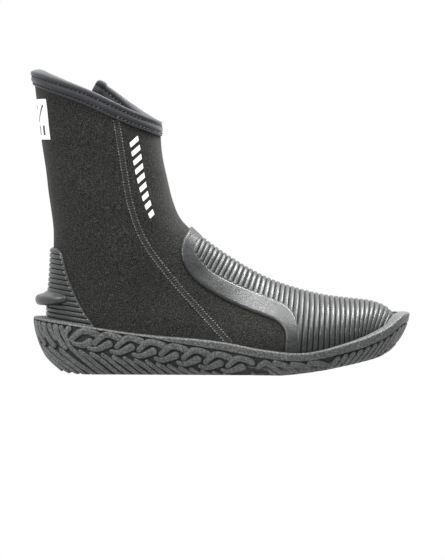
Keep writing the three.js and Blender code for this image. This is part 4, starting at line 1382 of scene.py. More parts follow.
# ---- the outsole
class SoleForm:
    """The outsole's outer surface, by the way round it and the way down from its rim, in millimetres."""

    FOOTPRINT = (
        (124.3, 6), (119, 25), (108, 35.8), (92, 43.2), (70, 46), (46, 45.9), (20, 42.6), (-10, 39.6),
        (-45, 36.8), (-75, 34.9), (-92, 34.1), (-105, 29.4), (-118, 17.8), (-123.2, 0), (-118, -17.6),
        (-105, -29.2), (-92, -33.8), (-75, -34.7), (-45, -36.5), (-10, -38.8), (20, -41.8), (46, -45.7),
        (70, -44), (92, -37.2), (108, -27), (119, -14.5),
    )
    SIDE_WALL, END_WALL = 3.8, 8.2
    SIDE_ROLL, TOE_ROLL, HEEL_ROLL, ROLL_FORM = 9.0, 17.0, 22.0, 1.7
    DOWN_STEP, DOWN = 0.5, 84.0

    def __init__(self) -> None:
        """Works out the surface as a table, with how far down the wall the ground is met."""
        loop = list(self.FOOTPRINT[-2:]) + list(self.FOOTPRINT) + list(self.FOOTPRINT[:3])
        steps = len(loop) - 1
        fine = spline(loop, np.linspace(2 / steps, (len(self.FOOTPRINT) + 2) / steps, 5201))
        run = run_along(fine)
        self.length = float(run[-1])
        self.count = 640
        at = np.arange(self.count) * self.length / self.count
        self.inner = read_rows(at, run, fine)
        tangent = unit(np.roll(self.inner, -1, axis=0) - np.roll(self.inner, 1, axis=0))
        self.out = np.stack([tangent[:, 1], -tangent[:, 0]], axis=1)
        end = self.out[:, 0] ** 2
        self.wall = self.SIDE_WALL + (self.END_WALL - self.SIDE_WALL) * end
        ends = np.where(self.out[:, 0] > 0, self.TOE_ROLL, self.HEEL_ROLL)
        self.roll = self.SIDE_ROLL + (ends - self.SIDE_ROLL) * end
        self.edge = self.inner + self.out * self.wall[:, None]
        self.rim = height_of(SOLE_RIM, self.edge[:, 0])
        self.table = np.array([self._profile(i) for i in range(self.count)])
        low = self.table[..., 2] < height_of(GROUND, self.table[..., 0]) + 0.3
        self.bottom = np.argmax(low, axis=1) * self.DOWN_STEP

    def _profile(self, i: int) -> Array:
        """Points a step apart down the wall and on under the foot, at one place round."""
        angle = np.linspace(0, np.pi / 2, 90)
        inwards = 1 - np.cos(angle) ** (2 / self.ROLL_FORM)
        downwards = np.sin(angle) ** (2 / self.ROLL_FORM)
        back = np.concatenate([self.roll[i] * inwards, self.roll[i] + np.linspace(0.5, 60, 120)])
        flat = self.edge[i] - self.out[i] * back[:, None]
        ground = height_of(GROUND, flat[:, 0])
        drop = np.concatenate([downwards, np.ones(120)])
        points = np.column_stack([flat, self.rim[i] + (ground - self.rim[i]) * drop])
        return read_rows(np.arange(0, self.DOWN, self.DOWN_STEP), run_along(points), points)

    def point(self, s: Array, w: Array) -> Array:
        """Points of the surface.

        Args:
            s: the way round from the toe, over the inner side to the heel and back.
            w: the way down from the rim.

        Returns:
            One (x, y, z) row for each.
        """
        a = (np.asarray(s, float) / self.length * self.count) % self.count
        b = np.clip(np.asarray(w, float) / self.DOWN_STEP, 0, self.table.shape[1] - 1.001)
        i, j = a.astype(int), b.astype(int)
        f, g = (a - i)[..., None], (b - j)[..., None]
        k = (i + 1) % self.count
        low = self.table[i, j] * (1 - g) + self.table[i, j + 1] * g
        high = self.table[k, j] * (1 - g) + self.table[k, j + 1] * g
        return low * (1 - f) + high * f

    def normal(self, s: Array, w: Array) -> Array:
        """The outward directions there."""
        s, w = np.broadcast_arrays(np.asarray(s, float), np.asarray(w, float))
        along = self.point(s + 1.5, w) - self.point(s - 1.5, w)
        down = self.point(s, w + 0.8) - self.point(s, np.maximum(w - 0.8, 0))
        return unit(np.cross(down, along))

    def way_to(self, x: float, side: int) -> float:
        """The way round at which the wall passes x on one side."""
        half = self.inner[:, 1] > 0 if side == INNER else self.inner[:, 1] < 0
        index = np.where(half)[0]
        return float(index[np.argmin(np.abs(self.edge[index, 0] - x))] * self.length / self.count)


@dataclass(frozen=True)
class Stroke:
    """One raised lug: its middle line as (along, down) points, and half its width at both ends."""

    line: tuple[tuple[float, float], ...]
    half: float
    far_half: float

    def mesh(self, rise: float) -> Mesh:
        """The lug laid flat: x along, y up the wall and z outwards.

        Args:
            rise: how far its top stands over the wall.

        Returns:
            Its points and faces.
        """
        rough = np.array(self.line)
        count = max(int(np.linalg.norm(np.diff(rough, axis=0), axis=1).sum() / 1.1), 4)
        share = np.linspace(0, 1, count)
        straight = len(self.line) == 2
        path = rough[0] + (rough[1] - rough[0]) * share[:, None] if straight else spline(self.line, share)
        along = unit(np.gradient(path, axis=0))
        caps = np.array([(0.92, 0.38), (0.7, 0.71), (0.38, 0.92)])
        before = path[0] - along[0] * self.half * caps[::-1, 1:]
        after = path[-1] + along[-1] * self.far_half * caps[:, 1:]
        half = np.linspace(self.half, self.far_half, len(path))
        half = np.concatenate([self.half * caps[::-1, 0], half, self.far_half * caps[:, 0]])
        path = np.vstack([before, path, after])
        along = np.vstack([np.repeat(along[:1], 3, 0), along, np.repeat(along[-1:], 3, 0)])
        across = np.stack([-along[:, 1], along[:, 0]], axis=1)
        section = np.array(
            [
                (-1.0, -0.7), (-0.98, 0.55), (-0.88, 0.86), (-0.66, 0.98), (0, 1.0), (0.66, 0.98),
                (0.88, 0.86), (0.98, 0.55), (1.0, -0.7),
            ]
        )
        off = section[None, :, 0] * half[:, None]
        flat = path[:, None] + across[:, None] * off[..., None]
        high = np.where(section[:, 1] > 0, section[:, 1] * rise, -0.7)[None] * np.ones((len(path), 1))
        high[:2] = np.where(high[:2] > 0, high[:2] * 0.85, high[:2])
        high[-2:] = np.where(high[-2:] > 0, high[-2:] * 0.85, high[-2:])
        rings = np.stack([flat[..., 0], -flat[..., 1], high], axis=-1)
        return swept(rings)


@dataclass(frozen=True)
class TreadRow:
    """A group of lugs that repeats along the wall."""

    start: float
    count: int
    pitch: float
    strokes: tuple[Stroke, ...]


# the lugs, in groups that repeat forwards from an x or a way round the heel
TREAD_ROWS = (
    TreadRow(
        -90.3, 8, 15.3,
        (Stroke(((4.2, 4.6), (-0.6, 3.6), (-5.6, 4.1), (-9.4, 7.4), (-12.6, 11.2)), 2.7, 1.8),),
    ),
    TreadRow(
        -75.0, 7, 15.3,
        (
            Stroke(((-15.4, 14.9), (-12.4, 15.3), (-8.8, 14.2), (-5.0, 11.9), (-1.6, 9.9)), 1.6, 2.7),
            Stroke(((-13.8, 19.1), (-8.6, 21.6), (-3, 25.6), (2, 29.6), (6, 33.4), (9, 38)), 1.95, 1.8),
            Stroke(
                ((-21.6, 18.6), (-16.6, 21.4), (-10.8, 25.9), (-5.5, 29.8), (-1.5, 33.6), (1.4, 38)),
                1.7, 1.8,
            ),
        ),
    ),
    TreadRow(
        -151.8, 5, 9.4,
        (
            Stroke(((0, 4.2), (0.8, 9.0), (3.2, 14.2), (6.0, 17.6)), 2.5, 2.2),
            Stroke(((2.5, 20.8), (9, 25.2), (16, 29.2), (23, 33.2), (30, 38.5)), 2.1, 2.0),
            Stroke(((4.6, 3.8), (5.6, 8.2), (8.4, 12.4)), 1.9, 1.7),
        ),
    ),
    TreadRow(
        -103.7, 1, 9.4,
        (
            Stroke(
                (
                    (-0.4, 3.6), (-2.6, 6.4), (-3.0, 10.5), (-1, 15.5), (3.5, 20), (9.5, 24.8),
                    (16, 29.5), (23, 35),
                ),
                1.9, 1.8,
            ),
            Stroke(((2.4, 13.6), (7.6, 14.0), (10.6, 12.6), (13.0, 10.6)), 1.7, 2.8),
        ),
    ),
    TreadRow(
        31, 4, 11.6,
        (
            Stroke(((-5, 8.4), (0.5, 9.4), (6, 13.0), (11, 17.4), (17, 21.4)), 2.6, 2.1),
            Stroke(((-10, 15.0), (-6.5, 18.6), (-1.5, 23.0)), 1.6, 2.0),
            Stroke(((-9, 24.5), (-3, 28.3), (4, 32.5), (9, 37)), 1.8, 1.8),
        ),
    ),
    TreadRow(
        77, 14, 5.5,
        (
            Stroke(((-1, 21), (0.6, 16.6), (2.6, 12.6), (4.4, 9.8)), 2.15, 2.15),
            Stroke(((-4.4, 30.0), (-2.6, 25.6)), 2.1, 2.1),
        ),
    ),
)


@dataclass(frozen=True)
class Outsole:
    """The moulded outsole: a plain band at its rim, and winding lugs down the wall and under the foot."""

    sharp: float = 42.0
    recess: float = 1.6
    rim_round: float = 1.4
    sunk_from: int = 15  # the ring at which the wall has sunk
    # how wide the plain band is, by x
    bands: tuple[tuple[float, float], ...] = (
        (-133, 1.3), (-55, 1.2), (-45, 2.0), (-35, 3.2), (-10, 5.2), (20, 5.6), (50, 5.5), (75, 6.0),
        (100, 7.0), (133, 7.0),
    )
    # how much lower the mid-foot lugs lie as the band grows
    drift: tuple[tuple[float, float], ...] = (
        (-133, 0), (-62, 0), (-52, 0.5), (-38, 2.0), (-24, 3.6), (-10, 5.0), (5, 5.6), (24, 5.6), (30, 0),
        (133, 0),
    )
    bar_pitch: float = 7.6
    bar_count: int = 29
    bar_start: float = -105.0
    bar_half: float = 2.5
    bar_reach: float = 30.0  # half a bar's drawn length, before it is fitted to the foot
    heel_end: float = -90.3  # rows that start behind this x run on round the heel
    draw_up: float = 0.12  # what is left of a lug's length past the point where the wall meets the ground
    # the part beneath the foot that the bars cover: x, and y on the outer and the inner side
    underside: tuple[tuple[float, float, float], ...] = (
        (-108, -3, 3), (-100, -13, 13), (-92, -18.5, 18.5), (-80, -22, 22.5), (-60, -24.5, 25),
        (-35, -26, 27), (-10, -28, 29), (20, -31, 32), (46, -34.5, 35), (70, -33, 35), (84, -28.5, 32.5),
        (94, -22.5, 27.5), (102, -15, 22), (112, -3, 12),
    )

    def _body(self, form: SoleForm) -> tuple[Piece, Array]:
        """The sole itself, with its wall sunk below the plain band, and which faces are sunk."""
        s = np.arange(form.count) * form.length / form.count
        band = read_off(self.bands, form.edge[:, 0])
        rings = []
        top = form.point(s, 0 * s)
        out3 = np.column_stack([form.out, np.zeros(form.count)])
        for inwards, down in ((form.wall + 1.2, 14.0), (form.wall + 0.7, 6.0), (form.wall + 0.3, 0.0)):
            rings.append(top - out3 * np.asarray(inwards)[:, None] - np.array([0, 0, 1.0]) * down)
        for share in (1.0, 0.7, 0.35, 0.12, 0.0):
            angle = share * np.pi / 2
            ring = form.point(s, 0 * s + self.rim_round * (1 - math.sin(angle)))
            rings.append(ring - out3 * self.rim_round * (1 - math.cos(angle)))
        steps = np.concatenate([np.linspace(0, 1, 5)[1:-1], [0.97, 1.05, 1.12, 1.2, 1.35]])
        for k in steps:
            w = self.rim_round + (band - self.rim_round) * k
            sunk = self.recess * smoothstep(0.98, 1.16, np.full(form.count, k))
            rings.append(form.point(s, w) - form.normal(s, w) * sunk[:, None])
        for w in np.arange(10, 44, 1.6):
            down = np.maximum(band * 1.35 + 0.3, w)
            rings.append(form.point(s, down) - form.normal(s, down) * self.recess)
        last = rings[-1]
        for share_x, share_y in ((0.85, 0.7), (0.6, 0.4), (0.3, 0.15)):
            x = -25 + (last[:, 0] + 25) * share_x
            y = 3 + (last[:, 1] - 3) * share_y
            rings.append(np.column_stack([x, y, height_of(GROUND, x) + self.recess]))
        obj = mesh_object("sole_body", *swept(np.array(rings[::-1])), self.sharp)
        # the sunk faces take the second material, a darker copy of the rubber: painted shade
        sunk_count = (len(rings) - self.sunk_from) * form.count
        index = np.zeros(len(obj.data.polygons), dtype=np.int32)
        index[:sunk_count] = 1
        # the points of the sunk rings are marked low, so the rubber beside them darkens: painted shade
        raised = np.ones(len(rings) * form.count)
        raised[:sunk_count] = 0
        set_attribute(obj, "raised", raised)
        return obj, index

    @staticmethod
    def _row(name: str, strokes: Sequence[Stroke], repeat: dict, rise: float) -> tuple[Piece, Array]:
        """Lugs drawn flat and repeated in a row, with their points in millimetres."""
        points, faces = joined([stroke.mesh(rise) for stroke in strokes])
        obj = mesh_object(name, points, faces, 40)
        # lower points of each lug are marked low, so its sides darken towards the base: painted shade
        set_attribute(obj, "raised", np.clip(points[:, 2] / rise, 0, 1) ** 2)
        run_tree(obj, TREES.in_a_row, repeat)
        flat = np.zeros(len(obj.data.vertices) * 3)
        obj.data.vertices.foreach_get("co", flat)
        return obj, flat.reshape(-1, 3) / MM

    def _settle(self, obj: Piece, points: Array, flip: bool) -> Piece:
        """Moves a row's points to their places, in millimetres and none below the ground."""
        made = points * MM
        made[:, 2] = np.maximum(made[:, 2], 0)
        obj.data.vertices.foreach_set("co", made.ravel())
        if flip:
            obj.data.flip_normals()
        obj.data.update()
        obj.data.shade_smooth()
        obj.data.set_sharp_from_angle(angle=math.radians(self.sharp))
        return obj

    def _wrapped(self, form: SoleForm, row: TreadRow, side: int, finish: Material) -> Piece:
        """One row of lugs, repeated flat and then laid round the wall.

        Args:
            form: the outsole's surface.
            row: the row of lugs.
            side: the outer or the inner side.
            finish: the rubber.

        Returns:
            The row as one piece.
        """
        name = f"tread_{'outer' if side == OUTER else 'inner'}_{TREAD_ROWS.index(row) + 1}"
        repeat = {"Count": row.count, "Pitch": row.pitch * MM, "Finish": finish}
        obj, flat = self._row(name, row.strokes, repeat, self.recess + 0.12)
        way = 1 if side == OUTER else -1
        behind = min(row.start - self.heel_end, 0)
        s = form.way_to(max(row.start, self.heel_end), side) + behind * way + flat[:, 0] * way
        w = -flat[:, 1] + read_off(self.drift, form.point(s, 0 * s)[:, 0])
        # the lugs that reach under the foot are drawn up short of the bars
        last = form.bottom[(s / form.length * form.count).astype(int) % form.count] + 0.5
        w = np.where(w > last, last + (w - last) * self.draw_up, w)
        points = form.point(s, w) + form.normal(s, w) * (flat[:, 2] - self.recess)[:, None]
        return self._settle(obj, points, side == INNER)

    def _bars(self, form: SoleForm, finish: Material) -> Piece:
        """The wavy bars across the underside."""
        share = np.linspace(-1, 1, 41)
        wave = 2.0 * np.cos(share * 9.5)
        line = tuple(zip(wave.tolist(), (share * self.bar_reach).tolist()))
        repeat = {"Count": self.bar_count, "Pitch": self.bar_pitch * MM, "Finish": finish}
        stroke = Stroke(line, self.bar_half, self.bar_half)
        obj, flat = self._row("tread_bars", [stroke], repeat, self.recess)
        x = self.bar_start + flat[:, 0]
        low, high = (read_off(self.underside, x, side) for side in (1, 2))
        y = (low + high) / 2 + flat[:, 1] / self.bar_reach * (high - low) / 2
        z = height_of(GROUND, x) + self.recess - flat[:, 2]
        return self._settle(obj, np.column_stack([x, y, z]), True)

    def build(self, finishes: Finishes) -> None:
        """Builds the sole and its tread."""
        form = SoleForm()
        body, sunk = self._body(form)
        dress(body, finishes.outsole, "outsole_rubber", "outsole")
        # the sunk faces take the darker copy of the rubber: painted shade
        body.data.materials.append(finishes.outsole_hollow_shade)
        body.data.polygons.foreach_set("material_index", sunk)
        for side in (OUTER, INNER):
            for row in TREAD_ROWS:
                lugs = self._wrapped(form, row, side, finishes.outsole)
                dress(lugs, finishes.outsole, "outsole_rubber", "outsole")
        dress(self._bars(form, finishes.outsole), finishes.outsole, "outsole_rubber", "outsole")


# ---- the zip
LEG_HALF, LEG_FORM = 42.4, 2.3  # half the leg's length in plan at the zip, and how square its outline is


def zip_point(across: Array, out: Array, down: Array) -> Array:
    """A point in the boot's frame from its place across the zip, out from the leg and down the zip."""
    across, out, down = np.broadcast_arrays(across, out, down)
    x = ZIP_TOP[0] + ZIP_FRONT[0] * across + ZIP_DOWN[0] * down
    z = ZIP_TOP[1] + ZIP_FRONT[1] * across + ZIP_DOWN[1] * down
    return np.stack([x, MEDIAL + out, z], axis=-1)


def leg_falls(across: Array) -> Array:
    """How far the leg falls away beside the zip's middle line."""
    share = np.clip(np.abs(across) / LEG_HALF, 0, 1)
    return MEDIAL * (1 - (1 - share**LEG_FORM) ** (1 / LEG_FORM))


def rounded_box(low: Sequence[float], high: Sequence[float], radius: float, steps: int = 3) -> Mesh:
    """A block with rounded edges, as a superellipse loft in (across, out, down).

    Args:
        low: its least corner.
        high: its greatest corner.
        radius: how round its edges are.
        steps: faces round each edge.

    Returns:
        Its points and faces.
    """
    low, high = np.asarray(low, float), np.asarray(high, float)
    middle, half = (low + high) / 2, (high - low) / 2
    radius = min(radius, *(half * 0.98))
    corner = np.linspace(0, np.pi / 2, steps + 1)

    def ring(inset: float, level: float) -> Array:
        """The block's outline drawn in by an inset, at a level."""
        out = []
        for q, (sx, sy) in enumerate(((1, 1), (-1, 1), (-1, -1), (1, -1))):
            turn = corner + q * np.pi / 2
            cx, cy = sx * (half[0] - radius), sy * (half[1] - radius)
            r = radius - inset
            out += [(cx + r * math.cos(t), cy + r * math.sin(t), level) for t in turn]
        return np.array(out)

    levels = [(radius * (1 - math.sin(t)), -(half[2] - radius) - radius * math.cos(t)) for t in corner]
    levels += [(inset, -level) for inset, level in reversed(levels)]
    return swept(np.array([ring(min(i, radius * 0.97), z) + middle for i, z in levels]))


def in_zip(mesh: Mesh) -> Mesh:
    """A mesh drawn in (across, out, down) moved to the boot's frame."""
    points, faces = mesh
    return zip_point(points[:, 0], points[:, 1], points[:, 2]), faces


@dataclass(frozen=True)
class Zip:
    """The zip in the inner side: two woven tapes, moulded teeth, stops, a slider and its pull tab."""

    band: float = 0.7
    pitch: float = 2.5
    first_tooth: float = 5.6
    stop_half: float = 2.3
    stop_length: float = 4.0
    stitch_rows: tuple[float, float] = (11.2, 14.8)
    stitch_pitch: float = 2.7
    stitch_end: float = 2.4  # how far above the zip's end the rows are joined
    slider_top: float = 4.6
    slider_length: float = 16.0
    slider_half: float = 7.0
    tab_length: float = 30.0
    tab_half: float = 4.5
    tab: float = 1.5
    pivot: float = 5.55

    def _tape(self, name: str, sign: int) -> Piece:
        """One woven tape with a corded inner edge, following the leg."""
        down = np.linspace(-4, ZIP_LENGTH, 90)
        top = np.array([4.1, 5.0, 6.0, 8.0, 10.2, 11.2, 12.2, 13.8, 14.8, 15.8, 16.6, 16.95])
        rise = np.array([1.25, 1.3, 1.0, 1.0, 1.02, 0.9, 1.0, 1.0, 0.9, 1.0, 0.95, 0.7])
        low = top[::-1]
        across = np.concatenate([top, low]) * sign
        out = np.concatenate([rise, np.full(len(low), GAP)])
        out[-1] = 0.25
        rings = zip_point(across[None], (out - leg_falls(across))[None], down[:, None])
        keep = under_collar(rings[:, 5]) > BINDING_DEPTH - FOLD + GAP
        return mesh_object(name, *swept(rings[keep]), 50)

    def _teeth(self, name: str, sign: int, finish: Material) -> Piece:
        """One side of the chain, repeated down its tape."""
        tooth = [
            rounded_box((-0.85, -0.9, -1.35), (0.85, 3.1, 1.35), 0.35, 2),
            rounded_box((-1.15, -2.1, -0.95), (1.15, -0.5, 0.95), 0.4, 2),
        ]
        points, faces = joined(tooth)
        part = mesh_object("tooth", points, faces, 50)
        count = int((ZIP_LENGTH - 9) / (2 * self.pitch))
        first = self.first_tooth + (0 if sign > 0 else self.pitch)
        down = np.array([first, first + 2 * self.pitch * count])
        path = zip_point(np.full(2, 1.35 * sign), np.full(2, self.band), down)
        if sign > 0:
            path = path[::-1]  # so that the noses of both sides face the middle
        out = np.tile(np.array([0, 1.0, 0]), (2, 1))
        return repeat_on_path(name, [(path, out)], part, 2 * self.pitch, finish, 5, 0.0)

    def _stitches(self, name: str, sign: int, finish: Material) -> Piece:
        """Two rows of stitches that hold a tape, joined at the bottom."""
        runs = []
        for at in self.stitch_rows:
            down = np.linspace(3, ZIP_LENGTH - self.stitch_end, 120)
            points = zip_point(at * sign, 1.12 - leg_falls(np.array(at)), down)
            keep = under_collar(points) > BINDING_DEPTH
            slope = float(leg_falls(np.array(at + 0.5)) - leg_falls(np.array(at - 0.5))) * sign
            facing = unit(np.array([slope * ZIP_FRONT[0], 1.0, slope * ZIP_FRONT[1]]))
            runs.append((points[keep], np.tile(facing, (int(keep.sum()), 1))))
        across = np.linspace(*self.stitch_rows, 6)
        points = zip_point(across * sign, 1.15 - leg_falls(across), ZIP_LENGTH - self.stitch_end)
        runs.append((points, np.tile(runs[-1][1][0], (6, 1))))
        part = stitch_part("tape_stitch", [[(-1.0, 0, 0), (0, 0, 0.2), (1.0, 0, 0)]], 0.32)
        return repeat_on_path(name, runs, part, self.stitch_pitch, finish, 7)

    def _slider(self) -> Piece:
        """The slider: two plates, rails, a wedge in between, and a bridge for the tab."""
        top, bottom = self.slider_top, self.slider_top + self.slider_length
        half, rail, middle = self.slider_half, 5.35, (top + bottom) / 2
        bridge = np.linspace(-4, 4, 17)
        arch = 3.3 + 4.7 * np.sqrt(np.clip(1 - (np.abs(bridge) / 4) ** 2.6, 0, 1))
        arch_path = np.stack([0 * bridge, arch, middle + bridge], axis=1)
        parts = [
            rounded_box((-half, 2.65, top), (half, 3.95, bottom), 0.6),
            rounded_box((-half, -2.55, top), (half, -1.25, bottom), 0.6),
            rounded_box((-half, 1.55, top), (-rail, 3.4, bottom), 0.5),
            rounded_box((rail, 1.55, top), (half, 3.4, bottom), 0.5),
            rounded_box((-half, -2.0, top), (-rail, -0.15, bottom), 0.5),
            rounded_box((rail, -2.0, top), (half, -0.15, bottom), 0.5),
            rounded_box((-0.3, -1.8, top + 0.5), (0.3, 3.2, top + 5), 0.15),
            rounded_box((-2.6, 3.7, top + 1.2), (2.6, 4.35, top + 3.6), 0.3),
            rounded_box((-2.6, 3.7, bottom - 3.6), (2.6, 4.35, bottom - 1.2), 0.3),
            rod(arch_path, 1.15, 8, 1.3, (1.0, 0, 0)),
        ]
        points, faces = joined([in_zip(part) for part in parts])
        return mesh_object("slider", points, faces, 45)

    def _tab(self) -> Piece:
        """The pull tab: a tapered plate with an eye at its pivot and a ribbed grip."""
        middle = self.slider_top + self.slider_length / 2
        turns = np.linspace(0, 2 * np.pi, 48, endpoint=False)
        centre = self.tab_length / 2 - self.tab / 2
        reach = self.tab_length / 2
        c, s = np.cos(turns), np.sin(turns)
        along = centre + np.sign(c) * np.abs(c) ** 0.55 * reach
        wide = np.sign(s) * np.abs(s) ** 0.55 * (self.tab_half - 0.5 * smoothstep(3, 20, along))
        eye_c, eye_s = np.sign(c) * np.abs(c) ** 0.7, np.sign(s) * np.abs(s) ** 0.7
        eye_along, eye_wide = self.tab / 2 + 3.0 + eye_c * 3.0, eye_s * 2.5
        half, bevel = self.tab / 2, 0.4
        rings = []
        for grow, high in ((-bevel, -half), (0, -half + bevel), (0, half - bevel), (-bevel, half)):
            rings.append((wide + np.sign(wide) * grow * np.abs(s), high, along + grow * c))
        for grow, high in ((bevel, half), (0, half - bevel), (0, -half + bevel), (bevel, -half)):
            rings.append((eye_wide + grow * s, high, eye_along + grow * c))
        stacked = [np.stack([w, np.full_like(w, self.pivot + h), middle + a], axis=1) for w, h, a in rings]
        plate = swept(np.array(stacked), closed_path=True)
        top = self.pivot + half
        grips = [
            rounded_box((-2.6, top - 0.3, middle + a), (2.6, top + 0.35, middle + a + 1.3), 0.3)
            for a in np.arange(14.0, 25.0, 2.6)
        ]
        mesh_parts = [in_zip(part) for part in (plate, *grips)]
        return mesh_object("pull_tab", *joined(mesh_parts), 45)

    def build(self, finishes: Finishes) -> None:
        """Builds the whole zip."""
        for name, sign in (("front", 1), ("rear", -1)):
            tape = self._tape(f"tape_{name}", sign)
            dress(tape, finishes.zip_tape, "zip_tape", f"zip_tape_{name}")
            teeth = self._teeth(f"teeth_{name}", sign, finishes.teeth)
            dress(teeth, finishes.teeth, "zip_teeth", f"zip_teeth_{name}")
            low, high = sorted((sign * 0.6, sign * 4.0))
            least = (low, self.band - self.stop_half, 0)
            most = (high, self.band + self.stop_half, self.stop_length)
            stop = mesh_object(f"top_stop_{name}", *in_zip(rounded_box(least, most, 0.6)), 45)
            dress(stop, finishes.teeth, "zip_teeth", f"zip_top_stop_{name}")
            rows = self._stitches(f"tape_stitches_{name}", sign, finishes.binding_thread)
            dress(rows, finishes.binding_thread, "thread", f"zip_stitch_{name}")
        low = (-4.0, self.band - self.stop_half, ZIP_LENGTH - self.stop_length)
        high = (4.0, self.band + self.stop_half, ZIP_LENGTH)
        bottom = mesh_object("bottom_stop", *in_zip(rounded_box(low, high, 0.8)), 45)
        dress(bottom, finishes.teeth, "zip_teeth", "zip_bottom_stop")
        dress(self._slider(), finishes.slider, "slider_metal", "zip_slider", body="slider")
        dress(self._tab(), finishes.slider, "slider_metal", "zip_pull_tab", body="pull_tab")


# ---- the prints
@dataclass(frozen=True)
class Prints:
    """Plain printed marks: slanted bars down the outer side and a patch at the back of the collar."""

    film: float = 0.18
    bars: int = 9
    bar_half: float = 3.2
    bar_share: float = 0.56
    slant: float = 1.1
    line: tuple[tuple[float, float], ...] = ((-60.5, 164), (-56, 141), (-50.5, 120), (-46, 109))
    patch_top: float = 190.5
    patch_low: float = 162.5
    patch_half: float = 23.0

    def _sheet(self, low_turn: float, high_turn: float, low: float, high: float) -> Skin:
        """A fine sheet over a small part of the last."""
        turns, vs = np.meshgrid(np.linspace(low_turn, high_turn, 150), np.linspace(low, high, 190))
        return Skin.grid(LAST.point(turns, vs), LAST.normal(turns, vs))

    def _film(self, name: str, sheet: Skin, lift: float, sunk: float) -> Piece:
        """A printed film that follows the foam, lifted a little and sunk into it for a firm hold."""
        wave = unevenness(sheet.pos)
        return mesh_object(name, *sheet.shell(wave + lift + self.film, wave - sunk), 40)

    def build(self, finishes: Finishes) -> None:
        """Builds both prints."""
        line = smooth_line(self.line)
        ends = np.array([line[0], line[-1]])
        length = float(np.linalg.norm(ends[1] - ends[0]))
        way = (ends[1] - ends[0]) / length

        def bar(points: Array) -> Array:
            """How far rows lie inside a slanted bar."""
            flat = points[:, [0, 2]]
            off = side_of(line, flat)
            run = ((flat - ends[0]) @ way + off * self.slant * 0.5) / length * self.bars
            within = (self.bar_share / 2 - np.abs(run - np.floor(run) - 0.5)) * length / self.bars
            inside = np.minimum(run, self.bars - run) * length / self.bars
            return np.minimum(np.minimum(within, self.bar_half - np.abs(off)), inside)

        mark = self._film("side_bars", self._sheet(-2.2, -0.9, 0.02, 0.45).keep(bar), 0.12, 0.4)
        dress(mark, finishes.print, "print_film", "side_mark")
        back = self._sheet(np.pi - 0.9, np.pi + 0.9, 0.02, 0.3)
        half = (self.patch_top - self.patch_low) / 2
        mid = (self.patch_top + self.patch_low) / 2
        back.keep(lambda p: self.patch_half - np.abs(p[:, 1]))
        back.keep(lambda p: half - np.abs(p[:, 2] - mid))
        patch = self._film("size_label", back, 0.12, 0.4)
        dress(patch, finishes.print, "print_film", "size_patch")

        def stroke(points: Array) -> Array:
            """How far rows lie inside a mark: a slash, two short bars or a dot."""
            y, z = points[:, 1], points[:, 2] - mid
            slash = 0.8 - np.abs((y + 14) * 0.75 + (z - 4) * 0.66)
            slash = np.minimum(slash, 6.0 - np.abs(z - 4))
            low_bars = np.minimum(1.2 - np.abs(np.abs(y + 14.5) - 3.4), 3.4 - np.abs(z + 7.6))
            dots = 1.6 - np.sqrt((y + 6) ** 2 + (z - 9) ** 2)
            return np.maximum(np.maximum(slash, low_bars), dots)

        marks = self._sheet(np.pi - 0.9, np.pi + 0.9, 0.02, 0.3).keep(stroke)
        ink = self._film("label_marks", marks, 0.2, 0.2)
        dress(ink, finishes.ink, "print_film", "size_patch")


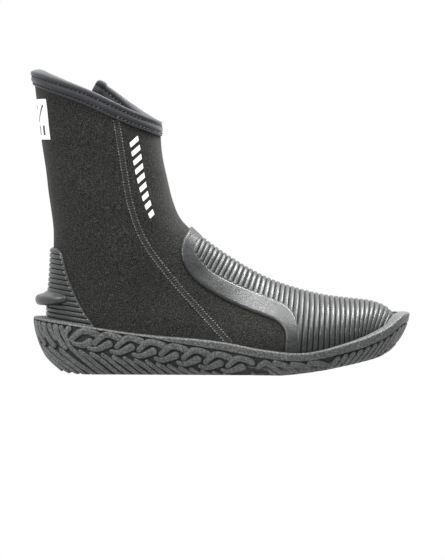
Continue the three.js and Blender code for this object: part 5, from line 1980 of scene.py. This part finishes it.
# ---- the studio
@dataclass(frozen=True)
class Studio:
    """Soft light from above and in front, and the camera at the boot's side; its pale floor is not added."""

    distance: float = 2.2
    elevation: float = 2.3
    centre: tuple[float, float] = (1.05, 64.3)
    frame_height: float = 392.0
    floor_size: float = 6.0
    front_light: float = 0.5
    top_light: float = 0.9

    def _light(self, name: str, spot: tuple[float, float, float], size: float, power: float) -> None:
        """Adds one soft light that faces the boot."""
        data = bpy.data.lights.new(name, "AREA")
        data.shape, data.size, data.energy = "DISK", size, power
        obj = placed(name, data)
        obj.location = spot
        obj.rotation_euler = (Vector((0, 0, 0.07)) - Vector(spot)).to_track_quat("-Z", "Y").to_euler()

    def _floor(self) -> None:
        """Adds the floor."""
        half = self.floor_size / 2 / MM
        corners = np.array([(-half, -half, 0), (half, -half, 0), (half, half, 0), (-half, half, 0)])
        floor = mesh_object("floor", corners, [(0, 1, 2, 3)])
        material = bpy.data.materials.new("studio_floor")
        material.use_nodes = True
        shader = material.node_tree.nodes["Principled BSDF"]
        shader.inputs["Base Color"].default_value = (0.72, 0.72, 0.72, 1)
        shader.inputs["Roughness"].default_value = 0.6
        floor.data.materials.append(material)

    def build(self) -> None:
        """Sets the world, the lights and the camera."""
        scene = bpy.context.scene
        world = bpy.data.worlds.new("studio")
        world.use_nodes = True
        graph = Graph(world.node_tree)
        way = graph.add("ShaderNodeSeparateXYZ", {0: graph.add("ShaderNodeTexCoord").outputs["Generated"]})
        front = span(graph, way.outputs[1], -0.9, 0.15, self.front_light, 1.0)
        above = span(graph, way.outputs[2], 0.35, 0.85, 0.0, self.top_light)
        light = graph.math("ADD", front, above)
        backdrop = graph.add("ShaderNodeBackground", {"Color": (1, 1, 1, 1), "Strength": light})
        graph.add("ShaderNodeOutputWorld", {"Surface": backdrop.outputs[0]})
        scene.world = world
        scene.view_settings.view_transform = "Standard"
        self._light("key", (0.25, -0.45, 1.6), 0.6, 22)
        self._light("rim", (0.6, 0.45, 1.2), 0.5, 22)
        self._light("glint", (-0.9, -1.0, 0.75), 0.22, 12)
        camera = placed("camera", bpy.data.cameras.new("camera"))
        tilt = math.radians(self.elevation)
        aim = Vector((self.centre[0] * MM, 0, self.centre[1] * MM))
        camera.location = aim + Vector((0, -math.cos(tilt), math.sin(tilt))) * self.distance
        camera.rotation_euler = (math.pi / 2 - tilt, 0, 0)
        camera.data.sensor_fit = "VERTICAL"
        camera.data.sensor_height = 36
        camera.data.lens = 36 * self.distance / (self.frame_height * MM)
        camera.data.clip_end = 20
        scene.camera = camera


def main() -> None:
    """Builds the boot and the studio."""
    logging.basicConfig(level=logging.INFO, format="%(name)s: %(message)s")
    finishes = Finishes()
    for part in (Upper(), CollarBinding(), FlatSeams(), ToeOverlay(), HeelCap(), Outsole(), Zip(), Prints()):
        log.info("building %s", type(part).__name__)
        part.build(finishes)
    Studio().build()


if __name__ == "__main__":
    main()
